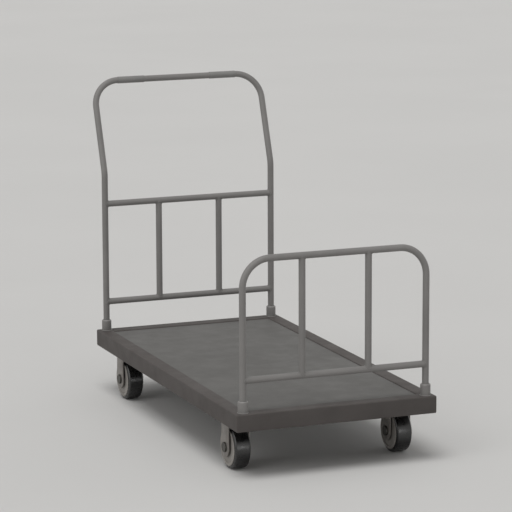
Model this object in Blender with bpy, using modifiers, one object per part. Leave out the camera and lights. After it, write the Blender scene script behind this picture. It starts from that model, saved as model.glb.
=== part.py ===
"""Industrial platform trolley: a rimmed steel deck on four casters, with a push handle and a guard hoop.

Metres, +Z up. The trolley stands on Z = 0 with its origin under the middle of its bounding box.
+X runs across the deck and +Y along it, towards the push handle; the low guard stands at the -Y end.
"""

import math

import bmesh
import bpy
from mathutils import Matrix, Vector

# Deck
DECK_LENGTH = 1.200
DECK_WIDTH = 0.600
RIM_FLANGE = 0.042
RIM_LIP = 0.018
RIM_LEDGE = 0.014
RIM_SHEET = 0.0025
RIM_BEND = 0.004
PANEL_RECESS = 0.003
PANEL_THICKNESS = 0.003
PANEL_GAP = 0.001

# Channels under the panel
BEARER_DEPTH = 0.0287
BEARER_MARGIN = 0.004
STIFFENER_WIDTH = 0.040
STIFFENER_SPACING = 0.300
CHANNEL_SHEET = 0.0025
CHANNEL_BEND = 0.005

# Sockets and tube work, with heights above the top of the rim
TUBE_DIAMETER = 0.019
TUBE_WALL = 0.0015
BEND_RADIUS = 0.080
POST_INSET_END = 0.021
SOCKET_WALL = 0.0045
SOCKET_HEIGHT = 0.030
SOCKET_CHAMFER = 0.003
SPIGOT_WALL = 0.0025
SPIGOT_CLEARANCE = 0.001
SPIGOT_END_CLEARANCE = 0.0055
SOCKET_FLOOR = 0.003
SOCKET_PLAY = 0.0005
HANDLE_TOP = 0.763
HANDLE_KINK = 0.492
HANDLE_LEAN = 0.101
UPPER_RAIL_HEIGHT = 0.396
LOWER_RAIL_HEIGHT = 0.090
GUARD_TOP = 0.425
BAR_SPACING = 0.198
GRIP_LENGTH = 0.086
GRIP_THICKNESS = 0.001
GRIP_ROUNDING = 0.0008

# Where the casters stand
CASTER_SIDE_CLEARANCE = 0.005
FIXED_AXLE_FROM_END = 0.153
SWIVEL_AXLE_FROM_END = 0.151
SWIVEL_TRAIL = 0.024

# Wheels, from the tread in to the axle
WHEEL_DIAMETER = 0.125
TREAD_WIDTH = 0.045
TREAD_ROUNDING = 0.006
TYRE_HEIGHT = 0.007
TYRE_TAPER = 0.0015
RIM_LIP_WIDTH = 0.0015
RIM_LIP_HEIGHT = 0.004
RIM_BAND = 0.006
CORE_DISH = 0.002
HUB_PROUD = 0.00225
HUB_WALL = 0.005
HUB_SIDE_PLAY = 0.00075
BUSH_WALL = 0.0035
SLEEVE_WALL = 0.0025
AXLE_DIAMETER = 0.012
AXLE_HEAD_WIDTH = 0.009
AXLE_HEAD_HEIGHT = 0.005
AXLE_THREAD_END = 0.0015
NUT_WIDTH = 0.019
NUT_HEIGHT = 0.008

# Forks, swivels and plates, from the wheel up to the deck
FORK_SHEET = 0.0035
FORK_BEND = 0.009
FORK_LEG_RADIUS = 0.028
FORK_TAPER = 0.002
FORK_FLARE_DEPTH = 0.0115
FORK_CROWN_LENGTH = 0.066
RIVET_CLEARANCE = 0.0035
KINGPIN_DIAMETER = 0.012
KINGPIN_HEAD_WIDTH = 0.004
KINGPIN_HEAD_HEIGHT = 0.003
KINGPIN_RIVET_WIDTH = 0.006
KINGPIN_RIVET_HEIGHT = 0.005
RACE_BOSS_HEIGHT = 0.004
RACE_BOSS_MARGIN = 0.003
BALL_RACE_DIAMETER = 0.048
BALL_RACE_HEIGHT = 0.0054
PLATE_LENGTH = 0.104
PLATE_WIDTH = 0.084
PLATE_THICKNESS = 0.003
PLATE_CORNER = 0.008
PLATE_HOLE_DIAMETER = 0.009
PLATE_HOLE_INSET = 0.012
SKIRT_CLEARANCE = 0.0023

# Fits and facets
FIT = 0.0003
TURNING_FIT = 0.0005
OVERRUN = 0.010
WHEEL_STEPS = 24
SOCKET_STEPS = 14
SMALL_STEPS = 12
RACE_STEPS = 16
CUTTER_STEPS = 16
HOLE_STEPS = 8
ARC_STEPS = 8
BEND_STEPS = 6
KINK_STEPS = 3
FOLD_STEPS = 3
ROUNDING_STEPS = 2
TUBE_BEVEL_RESOLUTION = 4

# Widths across a wheel and its fork
TYRE_WIDTH = TREAD_WIDTH + 2 * TYRE_TAPER
CORE_WIDTH = TYRE_WIDTH + 2 * RIM_LIP_WIDTH
HUB_LENGTH = CORE_WIDTH + 2 * HUB_PROUD
FORK_GAP = HUB_LENGTH + 2 * HUB_SIDE_PLAY
FORK_WIDTH = FORK_GAP + 2 * FORK_SHEET

# Heights from the floor up: the wheel, the swivel's stack, the channels and the deck
AXLE_HEIGHT = WHEEL_DIAMETER / 2 * math.cos(math.pi / WHEEL_STEPS)
RIVET_UNDERSIDE = AXLE_HEIGHT + WHEEL_DIAMETER / 2 + RIVET_CLEARANCE
RIVET_TOP = RIVET_UNDERSIDE + KINGPIN_RIVET_HEIGHT
CROWN_TOP = RIVET_TOP + TURNING_FIT + FORK_SHEET
CROWN_BOSS_TOP = CROWN_TOP + RACE_BOSS_HEIGHT
BALL_RACE_UNDERSIDE = CROWN_BOSS_TOP + FIT
PLATE_BOSS_UNDERSIDE = BALL_RACE_UNDERSIDE + BALL_RACE_HEIGHT + FIT
PLATE_UNDERSIDE = PLATE_BOSS_UNDERSIDE + RACE_BOSS_HEIGHT
PLATE_TOP = PLATE_UNDERSIDE + PLATE_THICKNESS
CHANNEL_UNDERSIDE = PLATE_TOP + FIT
CHANNEL_TOP = CHANNEL_UNDERSIDE + BEARER_DEPTH
PANEL_UNDERSIDE = CHANNEL_TOP + FIT
DECK_HEIGHT = PANEL_UNDERSIDE + PANEL_THICKNESS + PANEL_RECESS
RIM_UNDERSIDE = CROWN_TOP + SKIRT_CLEARANCE
RIM_HEIGHT = DECK_HEIGHT - RIM_UNDERSIDE

# Sockets and tubes
TUBE_RADIUS = TUBE_DIAMETER / 2
SOCKET_BORE = TUBE_RADIUS + SOCKET_PLAY
SOCKET_RADIUS = SOCKET_BORE + SOCKET_WALL
SPIGOT_RADIUS = SOCKET_BORE + SPIGOT_WALL
SPIGOT_DEPTH = RIM_HEIGHT - RIM_SHEET - SPIGOT_END_CLEARANCE
FOOT_HEIGHT = DECK_HEIGHT - SPIGOT_DEPTH + SOCKET_FLOOR + FIT
GRIP_RADIUS = TUBE_RADIUS + FIT + GRIP_THICKNESS
POST_INSET_SIDE = RIM_FLANGE - RIM_SHEET - SPIGOT_CLEARANCE - SPIGOT_RADIUS
POST_X = DECK_WIDTH / 2 - POST_INSET_SIDE

# The handle leans past the deck's end, so the deck's middle lies this far from the origin.
HANDLE_REACH = HANDLE_LEAN + GRIP_RADIUS - POST_INSET_END
DECK_Y = -max(HANDLE_REACH, 0.0) / 2
FRONT_EDGE = DECK_Y - DECK_LENGTH / 2
REAR_EDGE = DECK_Y + DECK_LENGTH / 2
GUARD_Y = FRONT_EDGE + POST_INSET_END
HANDLE_Y = REAR_EDGE - POST_INSET_END
FIXED_AXLE_Y = FRONT_EDGE + FIXED_AXLE_FROM_END
SWIVEL_AXLE_Y = REAR_EDGE - SWIVEL_AXLE_FROM_END
KINGPIN_Y = SWIVEL_AXLE_Y - SWIVEL_TRAIL
WHEEL_X = DECK_WIDTH / 2 - RIM_LIP - CASTER_SIDE_CLEARANCE - FORK_WIDTH / 2

COLOURS = {
    "deck_paint": ((0.138, 0.138, 0.130), 0.55, 0.0),
    "rim_paint": ((0.085, 0.078, 0.072), 0.55, 0.0),
    "tube_paint": ((0.140, 0.140, 0.135), 0.45, 0.0),
    "underframe_paint": ((0.080, 0.078, 0.074), 0.60, 0.0),
    "grip_vinyl": ((0.135, 0.135, 0.130), 0.60, 0.0),
    "caster_steel": ((0.150, 0.145, 0.138), 0.45, 0.6),
    "fastener_steel": ((0.090, 0.088, 0.082), 0.40, 0.8),
    "race_steel": ((0.110, 0.108, 0.104), 0.35, 0.9),
    "wheel_plastic": ((0.150, 0.145, 0.138), 0.50, 0.0),
    "bush_plastic": ((0.300, 0.295, 0.280), 0.50, 0.0),
    "tyre_rubber": ((0.012, 0.012, 0.012), 0.35, 0.0),
}


def clear_scene():
    """Removes whatever the scene holds."""
    for obj in list(bpy.data.objects):
        bpy.data.objects.remove(obj, do_unlink=True)


def new_collection(name):
    collection = bpy.data.collections.new(name)
    bpy.context.scene.collection.children.link(collection)
    return collection


def make_materials():
    """One painted, bare or moulded finish for each kind of piece."""
    made = {}
    for name, (colour, roughness, metallic) in COLOURS.items():
        material = bpy.data.materials.new(name)
        material.use_nodes = True
        shader = material.node_tree.nodes["Principled BSDF"]
        shader.inputs["Base Color"].default_value = (*colour, 1.0)
        shader.inputs["Roughness"].default_value = roughness
        shader.inputs["Metallic"].default_value = metallic
        made[name] = material
    return made


class Workshop:
    """Holds the collections and materials, and makes named pieces in them."""

    def __init__(self):
        self.parts = new_collection("platform_trolley")
        self.cutters = new_collection("cutters")
        self.materials = make_materials()

    def add(self, name, mesh, finish):
        obj = bpy.data.objects.new(name, mesh)
        mesh.materials.clear()
        mesh.materials.append(self.materials[finish])
        self.parts.objects.link(obj)
        return obj

    def helper(self, name, mesh):
        """A cutter, or a shape that is joined into a piece: it isn't a piece itself."""
        obj = bpy.data.objects.new(name, mesh)
        obj.hide_render = True
        obj.display_type = "WIRE"
        self.cutters.objects.link(obj)
        return obj

    def pivot(self, name, place):
        """An empty on a joint's axis, which carries the pieces that move on that joint."""
        empty = bpy.data.objects.new(name, None)
        empty.location = place
        empty.empty_display_size = 0.05
        self.parts.objects.link(empty)
        return empty


def boolean(obj, other, operation):
    modifier = obj.modifiers.new(f"{operation.lower()}_{other.name}", "BOOLEAN")
    modifier.operation = operation
    modifier.solver = "EXACT"
    modifier.object = other


def carry(child, parent):
    """Makes a piece move with its pivot and leaves it where it stands."""
    child.parent = parent
    child.matrix_parent_inverse = Matrix.Translation(parent.location).inverted()


def rounded_path(corners, radii, steps):
    """A polyline through 2D or 3D corners with each bend made an arc.

    An arc takes at most half of the shorter straight run beside it.
    """
    corners = [Vector(corner) for corner in corners]
    points = [corners[0]]
    for before, corner, after, radius, count in zip(corners, corners[1:], corners[2:], radii, steps):
        back = (before - corner).normalized()
        ahead = (after - corner).normalized()
        half_angle = back.angle(ahead) / 2
        room = 0.499 * min((before - corner).length, (after - corner).length)
        run = min(radius / math.tan(half_angle), room)
        if run < 1e-6:
            points.append(corner)
            continue
        true_radius = run * math.tan(half_angle)
        centre = corner + (back + ahead).normalized() * (true_radius / math.sin(half_angle))
        start = corner + back * run - centre
        side = corner + ahead * run - centre
        sweep = start.angle(side)
        for i in range(count + 1):
            share = i / count
            weight_start = math.sin((1 - share) * sweep) / math.sin(sweep)
            weight_side = math.sin(share * sweep) / math.sin(sweep)
            points.append(centre + start * weight_start + side * weight_side)
    points.append(corners[-1])
    return points


def circle_points(radius, steps, turn=0.0, centre=(0.0, 0.0)):
    angles = [turn + 2 * math.pi * i / steps for i in range(steps)]
    return [(centre[0] + radius * math.cos(a), centre[1] + radius * math.sin(a)) for a in angles]


def turned_mesh(name, profile, steps, ring=False):
    """A profile of (radius, height) points turned about Z, starting half a facet round from +X.

    The profile runs down the outer side. A ring's profile closes on itself, and any other ends on the axis.
    """
    turn = math.pi / steps
    mesh = bpy.data.meshes.new(name)
    points = [(r * math.cos(turn), r * math.sin(turn), z) for r, z in profile]
    edges = [(i, i + 1) for i in range(len(points) - 1)]
    if ring:
        edges.append((len(points) - 1, 0))
    mesh.from_pydata(points, edges, [])
    return mesh


def spin(obj, steps):
    modifier = obj.modifiers.new("turn", "SCREW")
    modifier.steps = steps
    modifier.render_steps = steps
    modifier.use_merge_vertices = True
    modifier.merge_threshold = 1e-5


def turned(shop, name, profile, finish, steps, ring=False):
    obj = shop.add(name, turned_mesh(name, profile, steps, ring), finish)
    spin(obj, steps)
    return obj


def drill(shop, name, radius, length, steps=CUTTER_STEPS):
    """A cylinder along Z, used to cut round holes and saddles."""
    mesh = bpy.data.meshes.new(name)
    bm = bmesh.new()
    bmesh.ops.create_cone(bm, cap_ends=True, segments=steps, radius1=radius, radius2=radius, depth=length)
    bm.to_mesh(mesh)
    bm.free()
    return shop.helper(name, mesh)


def block(shop, name, low, high):
    """A box between two corners, used as a cutter."""
    low, high = Vector(low), Vector(high)
    mesh = bpy.data.meshes.new(name)
    bm = bmesh.new()
    bmesh.ops.create_cube(bm, size=1.0)
    bmesh.ops.scale(bm, vec=high - low, verts=bm.verts)
    bmesh.ops.translate(bm, vec=(low + high) / 2, verts=bm.verts)
    bm.to_mesh(mesh)
    bm.free()
    return shop.helper(name, mesh)


def mesh_from_curve(curve_data, name):
    """The mesh that a curve makes, with its loose caps welded on. The curve is removed."""
    curve = bpy.data.objects.new(name + "_curve", curve_data)
    bpy.context.scene.collection.objects.link(curve)
    bpy.context.view_layer.update()
    graph = bpy.context.evaluated_depsgraph_get()
    mesh = bpy.data.meshes.new_from_object(curve.evaluated_get(graph))
    mesh.name = name
    bm = bmesh.new()
    bm.from_mesh(mesh)
    bmesh.ops.remove_doubles(bm, verts=bm.verts, dist=1e-6)
    bm.to_mesh(mesh)
    bm.free()
    bpy.data.objects.remove(curve, do_unlink=True)
    bpy.data.curves.remove(curve_data)
    return mesh


def outline_mesh(name, outlines, thickness):
    """A flat plate in the XY plane, centred on it. The first outline is its edge and the others are holes."""
    data = bpy.data.curves.new(name, "CURVE")
    data.dimensions = "2D"
    data.fill_mode = "BOTH"
    data.extrude = thickness / 2
    for outline in outlines:
        spline = data.splines.new("POLY")
        spline.points.add(len(outline) - 1)
        for point, place in zip(spline.points, outline):
            point.co = (place[0], place[1], 0.0, 1.0)
        spline.use_cyclic_u = True
    return mesh_from_curve(data, name)


def tube(shop, name, points, finish):
    """A steel tube along a line of points, with its wall inside and its ends open."""
    data = bpy.data.curves.new(name, "CURVE")
    data.dimensions = "3D"
    data.bevel_depth = TUBE_RADIUS
    data.bevel_resolution = TUBE_BEVEL_RESOLUTION
    spline = data.splines.new("POLY")
    spline.points.add(len(points) - 1)
    for point, place in zip(spline.points, points):
        point.co = (*place, 1.0)
    obj = shop.add(name, mesh_from_curve(data, name), finish)
    wall = obj.modifiers.new("wall", "SOLIDIFY")
    wall.thickness = TUBE_WALL
    wall.offset = -1.0
    return obj


def folded_mesh(name, section, length):
    """An open sheet with this section in XZ, running along Y, ready for its thickness."""
    mesh = bpy.data.meshes.new(name)
    bm = bmesh.new()
    row = [bm.verts.new((point[0], -length / 2, point[1])) for point in section]
    edges = [bm.edges.new(pair) for pair in zip(row, row[1:])]
    made = bmesh.ops.extrude_edge_only(bm, edges=edges)
    moved = [item for item in made["geom"] if isinstance(item, bmesh.types.BMVert)]
    bmesh.ops.translate(bm, vec=(0.0, length, 0.0), verts=moved)
    bmesh.ops.recalc_face_normals(bm, faces=bm.faces)
    ahead = row[1].co - row[0].co
    left = Vector((-ahead.z, 0.0, ahead.x))
    if row[0].link_faces[0].normal.dot(left) < 0:
        bmesh.ops.reverse_faces(bm, faces=bm.faces)
    bm.to_mesh(mesh)
    bm.free()
    return mesh


def folded(shop, name, section, length, sheet, finish):
    """A folded sheet. Its thickness lies to the right of the section, seen along the section."""
    obj = shop.add(name, folded_mesh(name, section, length), finish)
    solid = obj.modifiers.new("sheet", "SOLIDIFY")
    solid.thickness = sheet
    solid.offset = -1.0
    solid.use_even_offset = True
    return obj


def rail_section():
    """The rim's section, from its inner bottom lip round the outside to the ledge that the panel lies on."""
    seat = -(PANEL_RECESS + PANEL_THICKNESS + FIT)
    corners = [
        (RIM_LIP, -RIM_HEIGHT),
        (0.0, -RIM_HEIGHT),
        (0.0, 0.0),
        (RIM_FLANGE, 0.0),
        (RIM_FLANGE, seat),
        (RIM_FLANGE + RIM_LEDGE, seat),
    ]
    return rounded_path(corners, [RIM_BEND, RIM_BEND, RIM_BEND, 0.0], [FOLD_STEPS] * 4)


def build_rim(shop):
    """Four rails of one folded section, mitred at the corners and bored for the socket spigots."""
    holes = []
    for x in (-POST_X, POST_X):
        for y in (GUARD_Y, HANDLE_Y):
            hole = drill(shop, "spigot_hole", SPIGOT_RADIUS + FIT, 2 * OVERRUN)
            hole.location = (x, y, DECK_HEIGHT)
            holes.append(hole)
    places = {
        "side_rail_left": (DECK_LENGTH, (-DECK_WIDTH / 2, DECK_Y), 0.0),
        "end_rail_rear": (DECK_WIDTH, (0.0, REAR_EDGE), -math.pi / 2),
        "side_rail_right": (DECK_LENGTH, (DECK_WIDTH / 2, DECK_Y), math.pi),
        "end_rail_front": (DECK_WIDTH, (0.0, FRONT_EDGE), math.pi / 2),
    }
    for name, (length, place, turn) in places.items():
        rail = folded(shop, name, rail_section(), length, RIM_SHEET, "rim_paint")
        rail.location = (*place, DECK_HEIGHT)
        rail.rotation_euler = (0.0, 0.0, turn)
        frame = Matrix.Translation(rail.location) @ Matrix.Rotation(turn, 4, "Z")
        reach = 4 * (RIM_FLANGE + RIM_LEDGE)
        for end in (-1, 1):
            cutter = block(shop, "mitre", (-FIT / 2, -reach, -reach), (reach, reach, reach))
            corner = Matrix.Translation((0.0, end * length / 2, 0.0))
            cutter.matrix_world = frame @ corner @ Matrix.Rotation(end * math.pi / 4, 4, "Z")
            boolean(rail, cutter, "DIFFERENCE")
        for hole in holes:
            on_rail = {
                "side_rail_left": hole.location.x < 0,
                "side_rail_right": hole.location.x > 0,
                "end_rail_front": hole.location.y < DECK_Y,
                "end_rail_rear": hole.location.y > DECK_Y,
            }[name]
            if on_rail:
                boolean(rail, hole, "DIFFERENCE")


def build_panel(shop):
    """The load panel, lying in the rim on its ledge."""
    inset = RIM_FLANGE + PANEL_GAP
    half_width = DECK_WIDTH / 2 - inset
    half_length = DECK_LENGTH / 2 - inset
    outline = [
        (-half_width, -half_length),
        (half_width, -half_length),
        (half_width, half_length),
        (-half_width, half_length),
    ]
    panel = shop.add("deck_panel", outline_mesh("deck_panel", [outline], PANEL_THICKNESS), "deck_paint")
    panel.location = (0.0, DECK_Y, PANEL_UNDERSIDE + PANEL_THICKNESS / 2)


def build_channel(shop, name, width, y):
    """A channel across the deck with its web down. Its ends are coped to pass under the rim's ledge."""
    half = width / 2
    corners = [(half, 0.0), (half, -BEARER_DEPTH), (-half, -BEARER_DEPTH), (-half, 0.0)]
    section = rounded_path(corners, [CHANNEL_BEND] * 2, [FOLD_STEPS] * 2)
    length = DECK_WIDTH - 2 * (RIM_SHEET + FIT)
    channel = folded(shop, name, section, length, CHANNEL_SHEET, "underframe_paint")
    channel.location = (0.0, y, CHANNEL_TOP)
    channel.rotation_euler = (0.0, 0.0, math.pi / 2)
    cope_x = DECK_WIDTH / 2 - RIM_FLANGE - RIM_LEDGE - PANEL_GAP
    cope_z = CHANNEL_TOP - RIM_SHEET - PANEL_GAP
    for side in (-1, 1):
        ends = sorted((side * cope_x, side * DECK_WIDTH))
        low = (ends[0], y - width, cope_z)
        high = (ends[1], y + width, DECK_HEIGHT)
        boolean(channel, block(shop, "cope", low, high), "DIFFERENCE")


def build_socket(shop, name, x, y):
    """A collar on the rim with a blind bore, and a spigot that passes through the flange."""
    floor = SOCKET_FLOOR - SPIGOT_DEPTH
    profile = [
        (0.0, floor),
        (SOCKET_BORE, floor),
        (SOCKET_BORE, SOCKET_HEIGHT),
        (SOCKET_RADIUS - SOCKET_CHAMFER, SOCKET_HEIGHT),
        (SOCKET_RADIUS, SOCKET_HEIGHT - SOCKET_CHAMFER),
        (SOCKET_RADIUS, FIT),
        (SPIGOT_RADIUS, FIT),
        (SPIGOT_RADIUS, -SPIGOT_DEPTH),
        (0.0, -SPIGOT_DEPTH),
    ]
    socket = turned(shop, name, profile, "tube_paint", SOCKET_STEPS)
    socket.location = (x, y, DECK_HEIGHT)


def hoop_points(corners, y_foot):
    """The hoop's line from one foot to the other. The corners are those of its left half, upwards."""
    feet = [(-POST_X, y_foot, FOOT_HEIGHT)] + corners
    whole = feet + [(-x, y, z) for x, y, z in reversed(feet)]
    kinks = len(corners) - 1
    radii = [BEND_RADIUS] * (len(whole) - 2)
    steps = [KINK_STEPS] * kinks + [BEND_STEPS] * 2 + [KINK_STEPS] * kinks
    return rounded_path(whole, radii, steps)


def cross_rail(shop, name, y, height, parent):
    """A level tube between the uprights, with its ends coped to them."""
    ends = [(-POST_X, y, height), (POST_X, y, height)]
    rail = tube(shop, name, ends, "tube_paint")
    for x in (-POST_X, POST_X):
        saddle = drill(shop, "upright_saddle", TUBE_RADIUS + FIT, 6 * TUBE_DIAMETER)
        saddle.location = (x, y, height)
        boolean(rail, saddle, "DIFFERENCE")
    carry(rail, parent)


def upright_bar(shop, name, x, y, low, high, parent):
    """An infill tube between two level tubes, with its ends coped to them."""
    bar = tube(shop, name, [(x, y, low), (x, y, high)], "tube_paint")
    for height in (low, high):
        saddle = drill(shop, "rail_saddle", TUBE_RADIUS + FIT, 6 * TUBE_DIAMETER)
        saddle.rotation_euler = (0.0, math.pi / 2, 0.0)
        saddle.location = (x, y, height)
        boolean(bar, saddle, "DIFFERENCE")
    carry(bar, parent)


def build_handle(shop):
    """The push handle: a hoop that leans back above its upper rail, with two rails, two bars and two grips."""
    pivot = shop.pivot("handle_lift_axis", (0.0, HANDLE_Y, DECK_HEIGHT))
    top = DECK_HEIGHT + HANDLE_TOP
    lean_y = HANDLE_Y + HANDLE_LEAN
    corners = [(-POST_X, HANDLE_Y, DECK_HEIGHT + HANDLE_KINK), (-POST_X, lean_y, top)]
    carry(tube(shop, "handle_hoop", hoop_points(corners, HANDLE_Y), "tube_paint"), pivot)
    low = DECK_HEIGHT + LOWER_RAIL_HEIGHT
    high = DECK_HEIGHT + UPPER_RAIL_HEIGHT
    cross_rail(shop, "handle_upper_rail", HANDLE_Y, high, pivot)
    cross_rail(shop, "handle_lower_rail", HANDLE_Y, low, pivot)
    for side, x in (("left", -BAR_SPACING / 2), ("right", BAR_SPACING / 2)):
        upright_bar(shop, f"handle_bar_{side}", x, HANDLE_Y, low, high, pivot)
    half = GRIP_LENGTH / 2
    inner = TUBE_RADIUS + FIT
    profile = [
        (inner, half),
        (GRIP_RADIUS - GRIP_ROUNDING, half),
        (GRIP_RADIUS, half - GRIP_ROUNDING),
        (GRIP_RADIUS, GRIP_ROUNDING - half),
        (GRIP_RADIUS - GRIP_ROUNDING, -half),
        (inner, -half),
    ]
    for side, sign in (("left", -1), ("right", 1)):
        grip = turned(shop, f"grip_{side}", profile, "grip_vinyl", SOCKET_STEPS, ring=True)
        grip.rotation_euler = (0.0, math.pi / 2, 0.0)
        grip.location = (sign * (POST_X - BEND_RADIUS - half), lean_y, top)
        carry(grip, pivot)


def build_guard(shop):
    """The low hoop at the front, with one rail and two bars."""
    pivot = shop.pivot("guard_lift_axis", (0.0, GUARD_Y, DECK_HEIGHT))
    top = DECK_HEIGHT + GUARD_TOP
    low = DECK_HEIGHT + LOWER_RAIL_HEIGHT
    points = hoop_points([(-POST_X, GUARD_Y, top)], GUARD_Y)
    carry(tube(shop, "guard_hoop", points, "tube_paint"), pivot)
    cross_rail(shop, "guard_rail", GUARD_Y, low, pivot)
    for side, x in (("left", -BAR_SPACING / 2), ("right", BAR_SPACING / 2)):
        upright_bar(shop, f"guard_bar_{side}", x, GUARD_Y, low, top, pivot)


def fork_outline(crown_top, offset):
    """The fork's outline in side view, as (along the deck, above the axle) points.

    Its legs end in an arc about the axle and taper up to their flare, which reaches the crown's length.
    """
    neck = FORK_LEG_RADIUS - FORK_TAPER
    crown = FORK_CROWN_LENGTH / 2
    flare = crown_top - FORK_FLARE_DEPTH
    shoulder = crown_top - FORK_FLARE_DEPTH / 2
    above = crown_top + OVERRUN
    angles = [math.pi * (1 + i / ARC_STEPS) for i in range(ARC_STEPS + 1)]
    end = [(FORK_LEG_RADIUS * math.cos(a), FORK_LEG_RADIUS * math.sin(a)) for a in angles]
    radii = [2 * FORK_LEG_RADIUS, FORK_LEG_RADIUS / 2]
    steps = [ROUNDING_STEPS] * 2
    rear_end = max(neck, offset + crown)
    front_end = min(-neck, offset - crown)
    rear_edge = [end[-1], (neck, flare), (rear_end, shoulder), (rear_end, above)]
    front_edge = [end[0], (-neck, flare), (front_end, shoulder), (front_end, above)]
    rear = [tuple(point) for point in rounded_path(rear_edge, radii, steps)]
    front = [tuple(point) for point in rounded_path(front_edge, radii, steps)]
    return [*end[1:-1], *rear, *reversed(front)]


def fork_blank(shop, name, crown_top, offset):
    """A pressed fork: a sheet folded over the wheel, trimmed to its outline and bored for the axle.

    The crown's middle lies offset along the deck from the axle, and the fork's own origin is on the axle.
    It gives the fork and its cutters.
    """
    half = FORK_WIDTH / 2
    drop = -2 * FORK_LEG_RADIUS
    corners = [(-half, drop), (-half, crown_top), (half, crown_top), (half, drop)]
    section = rounded_path(corners, [FORK_BEND] * 2, [FOLD_STEPS] * 2)
    length = FORK_CROWN_LENGTH + 2 * abs(offset) + 4 * FORK_LEG_RADIUS
    fork = folded(shop, name, section, length, FORK_SHEET, "caster_steel")
    outline = [fork_outline(crown_top, offset)]
    trim = shop.helper("fork_outline", outline_mesh("fork_outline", outline, 2 * FORK_WIDTH))
    trim.matrix_world = Matrix(((0, 0, 1, 0), (1, 0, 0, 0), (0, 1, 0, 0), (0, 0, 0, 1)))
    boolean(fork, trim, "INTERSECT")
    bore = drill(shop, "axle_hole", AXLE_DIAMETER / 2 + FIT, 2 * FORK_WIDTH, SMALL_STEPS)
    bore.rotation_euler = (0.0, math.pi / 2, 0.0)
    boolean(fork, bore, "DIFFERENCE")
    return fork, [trim, bore]


def plate_mesh(name):
    """A caster's bolting plate, with a hole near each corner."""
    hx, hy = PLATE_WIDTH / 2, PLATE_LENGTH / 2
    start = (0.0, -hy)
    corners = [start, (hx, -hy), (hx, hy), (-hx, hy), (-hx, -hy), start]
    edge = rounded_path(corners, [PLATE_CORNER] * 4, [ROUNDING_STEPS] * 4)[1:-1]
    outlines = [[tuple(point) for point in edge]]
    for x in (PLATE_HOLE_INSET - hx, hx - PLATE_HOLE_INSET):
        for y in (PLATE_HOLE_INSET - hy, hy - PLATE_HOLE_INSET):
            outlines.append(circle_points(PLATE_HOLE_DIAMETER / 2, HOLE_STEPS, centre=(x, y)))
    return outline_mesh(name, outlines, PLATE_THICKNESS)


def move_all(objects, place):
    for obj in objects:
        obj.matrix_world = Matrix.Translation(place) @ obj.matrix_basis


def build_fixed_bracket(shop, side, x):
    """A fixed caster's bracket: the folded fork welded under its bolting plate."""
    crown_top = PLATE_UNDERSIDE + PLATE_THICKNESS / 2 - AXLE_HEIGHT
    fork, helpers = fork_blank(shop, f"fixed_bracket_{side}", crown_top, 0.0)
    plate = shop.helper("fixed_plate", plate_mesh("fixed_plate"))
    plate.location = (0.0, 0.0, PLATE_TOP - PLATE_THICKNESS / 2 - AXLE_HEIGHT)
    boolean(fork, plate, "UNION")
    move_all([fork, plate, *helpers], (x, FIXED_AXLE_Y, AXLE_HEIGHT))


def raceway_boss(shop, name, seat, end):
    """The round boss of a raceway, from inside its plate at the seat's height to its chamfered end."""
    race = BALL_RACE_DIAMETER / 2 + RACE_BOSS_MARGIN
    if end > seat:
        profile = [(0.0, end), (race - FIT, end), (race, end - FIT), (race, seat), (0.0, seat)]
    else:
        profile = [(0.0, seat), (race, seat), (race, end + FIT), (race - FIT, end), (0.0, end)]
    boss = shop.helper(name, turned_mesh(name, profile, RACE_STEPS))
    spin(boss, RACE_STEPS)
    return boss


def build_swivel_mount(shop, side, x):
    """A swivel caster's plate with its raceway, its ball race and the kingpin that holds them together."""
    name = f"swivel_plate_{side}"
    plate = shop.add(name, plate_mesh(name), "caster_steel")
    plate.location = (x, KINGPIN_Y, PLATE_TOP - PLATE_THICKNESS / 2)
    seat = PLATE_TOP - PLATE_THICKNESS / 2
    boss = raceway_boss(shop, "plate_boss", seat, PLATE_BOSS_UNDERSIDE)
    pin = KINGPIN_DIAMETER / 2
    head = pin + KINGPIN_HEAD_WIDTH
    bore = drill(shop, "kingpin_bore", pin + FIT, 2 * DECK_HEIGHT, SMALL_STEPS)
    pocket_depth = KINGPIN_HEAD_HEIGHT + FIT
    pocket = drill(shop, "kingpin_pocket", head + FIT, 2 * pocket_depth)
    boolean(plate, boss, "UNION")
    boss.location = (x, KINGPIN_Y, 0.0)
    for cutter in (bore, pocket):
        cutter.location = (x, KINGPIN_Y, PLATE_TOP)
        boolean(plate, cutter, "DIFFERENCE")

    top = BALL_RACE_UNDERSIDE + BALL_RACE_HEIGHT
    outer = BALL_RACE_DIAMETER / 2
    waist = BALL_RACE_HEIGHT / 3
    inner = pin + TURNING_FIT + waist
    ring_profile = [
        (inner, top),
        (outer - waist, top),
        (outer, top - waist),
        (outer, BALL_RACE_UNDERSIDE + waist),
        (outer - waist, BALL_RACE_UNDERSIDE),
        (inner, BALL_RACE_UNDERSIDE),
    ]
    ring = turned(shop, f"ball_race_{side}", ring_profile, "race_steel", RACE_STEPS, ring=True)
    ring.location = (x, KINGPIN_Y, 0.0)

    rivet = pin + KINGPIN_RIVET_WIDTH
    rounding = KINGPIN_RIVET_HEIGHT / 3
    pin_profile = [
        (0.0, PLATE_TOP),
        (head, PLATE_TOP),
        (head, PLATE_TOP - KINGPIN_HEAD_HEIGHT),
        (pin, PLATE_TOP - KINGPIN_HEAD_HEIGHT),
        (pin, RIVET_TOP),
        (rivet, RIVET_TOP),
        (rivet, RIVET_UNDERSIDE + rounding),
        (rivet - rounding, RIVET_UNDERSIDE),
        (0.0, RIVET_UNDERSIDE),
    ]
    kingpin = turned(shop, f"kingpin_{side}", pin_profile, "fastener_steel", SMALL_STEPS)
    kingpin.location = (x, KINGPIN_Y, 0.0)


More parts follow.
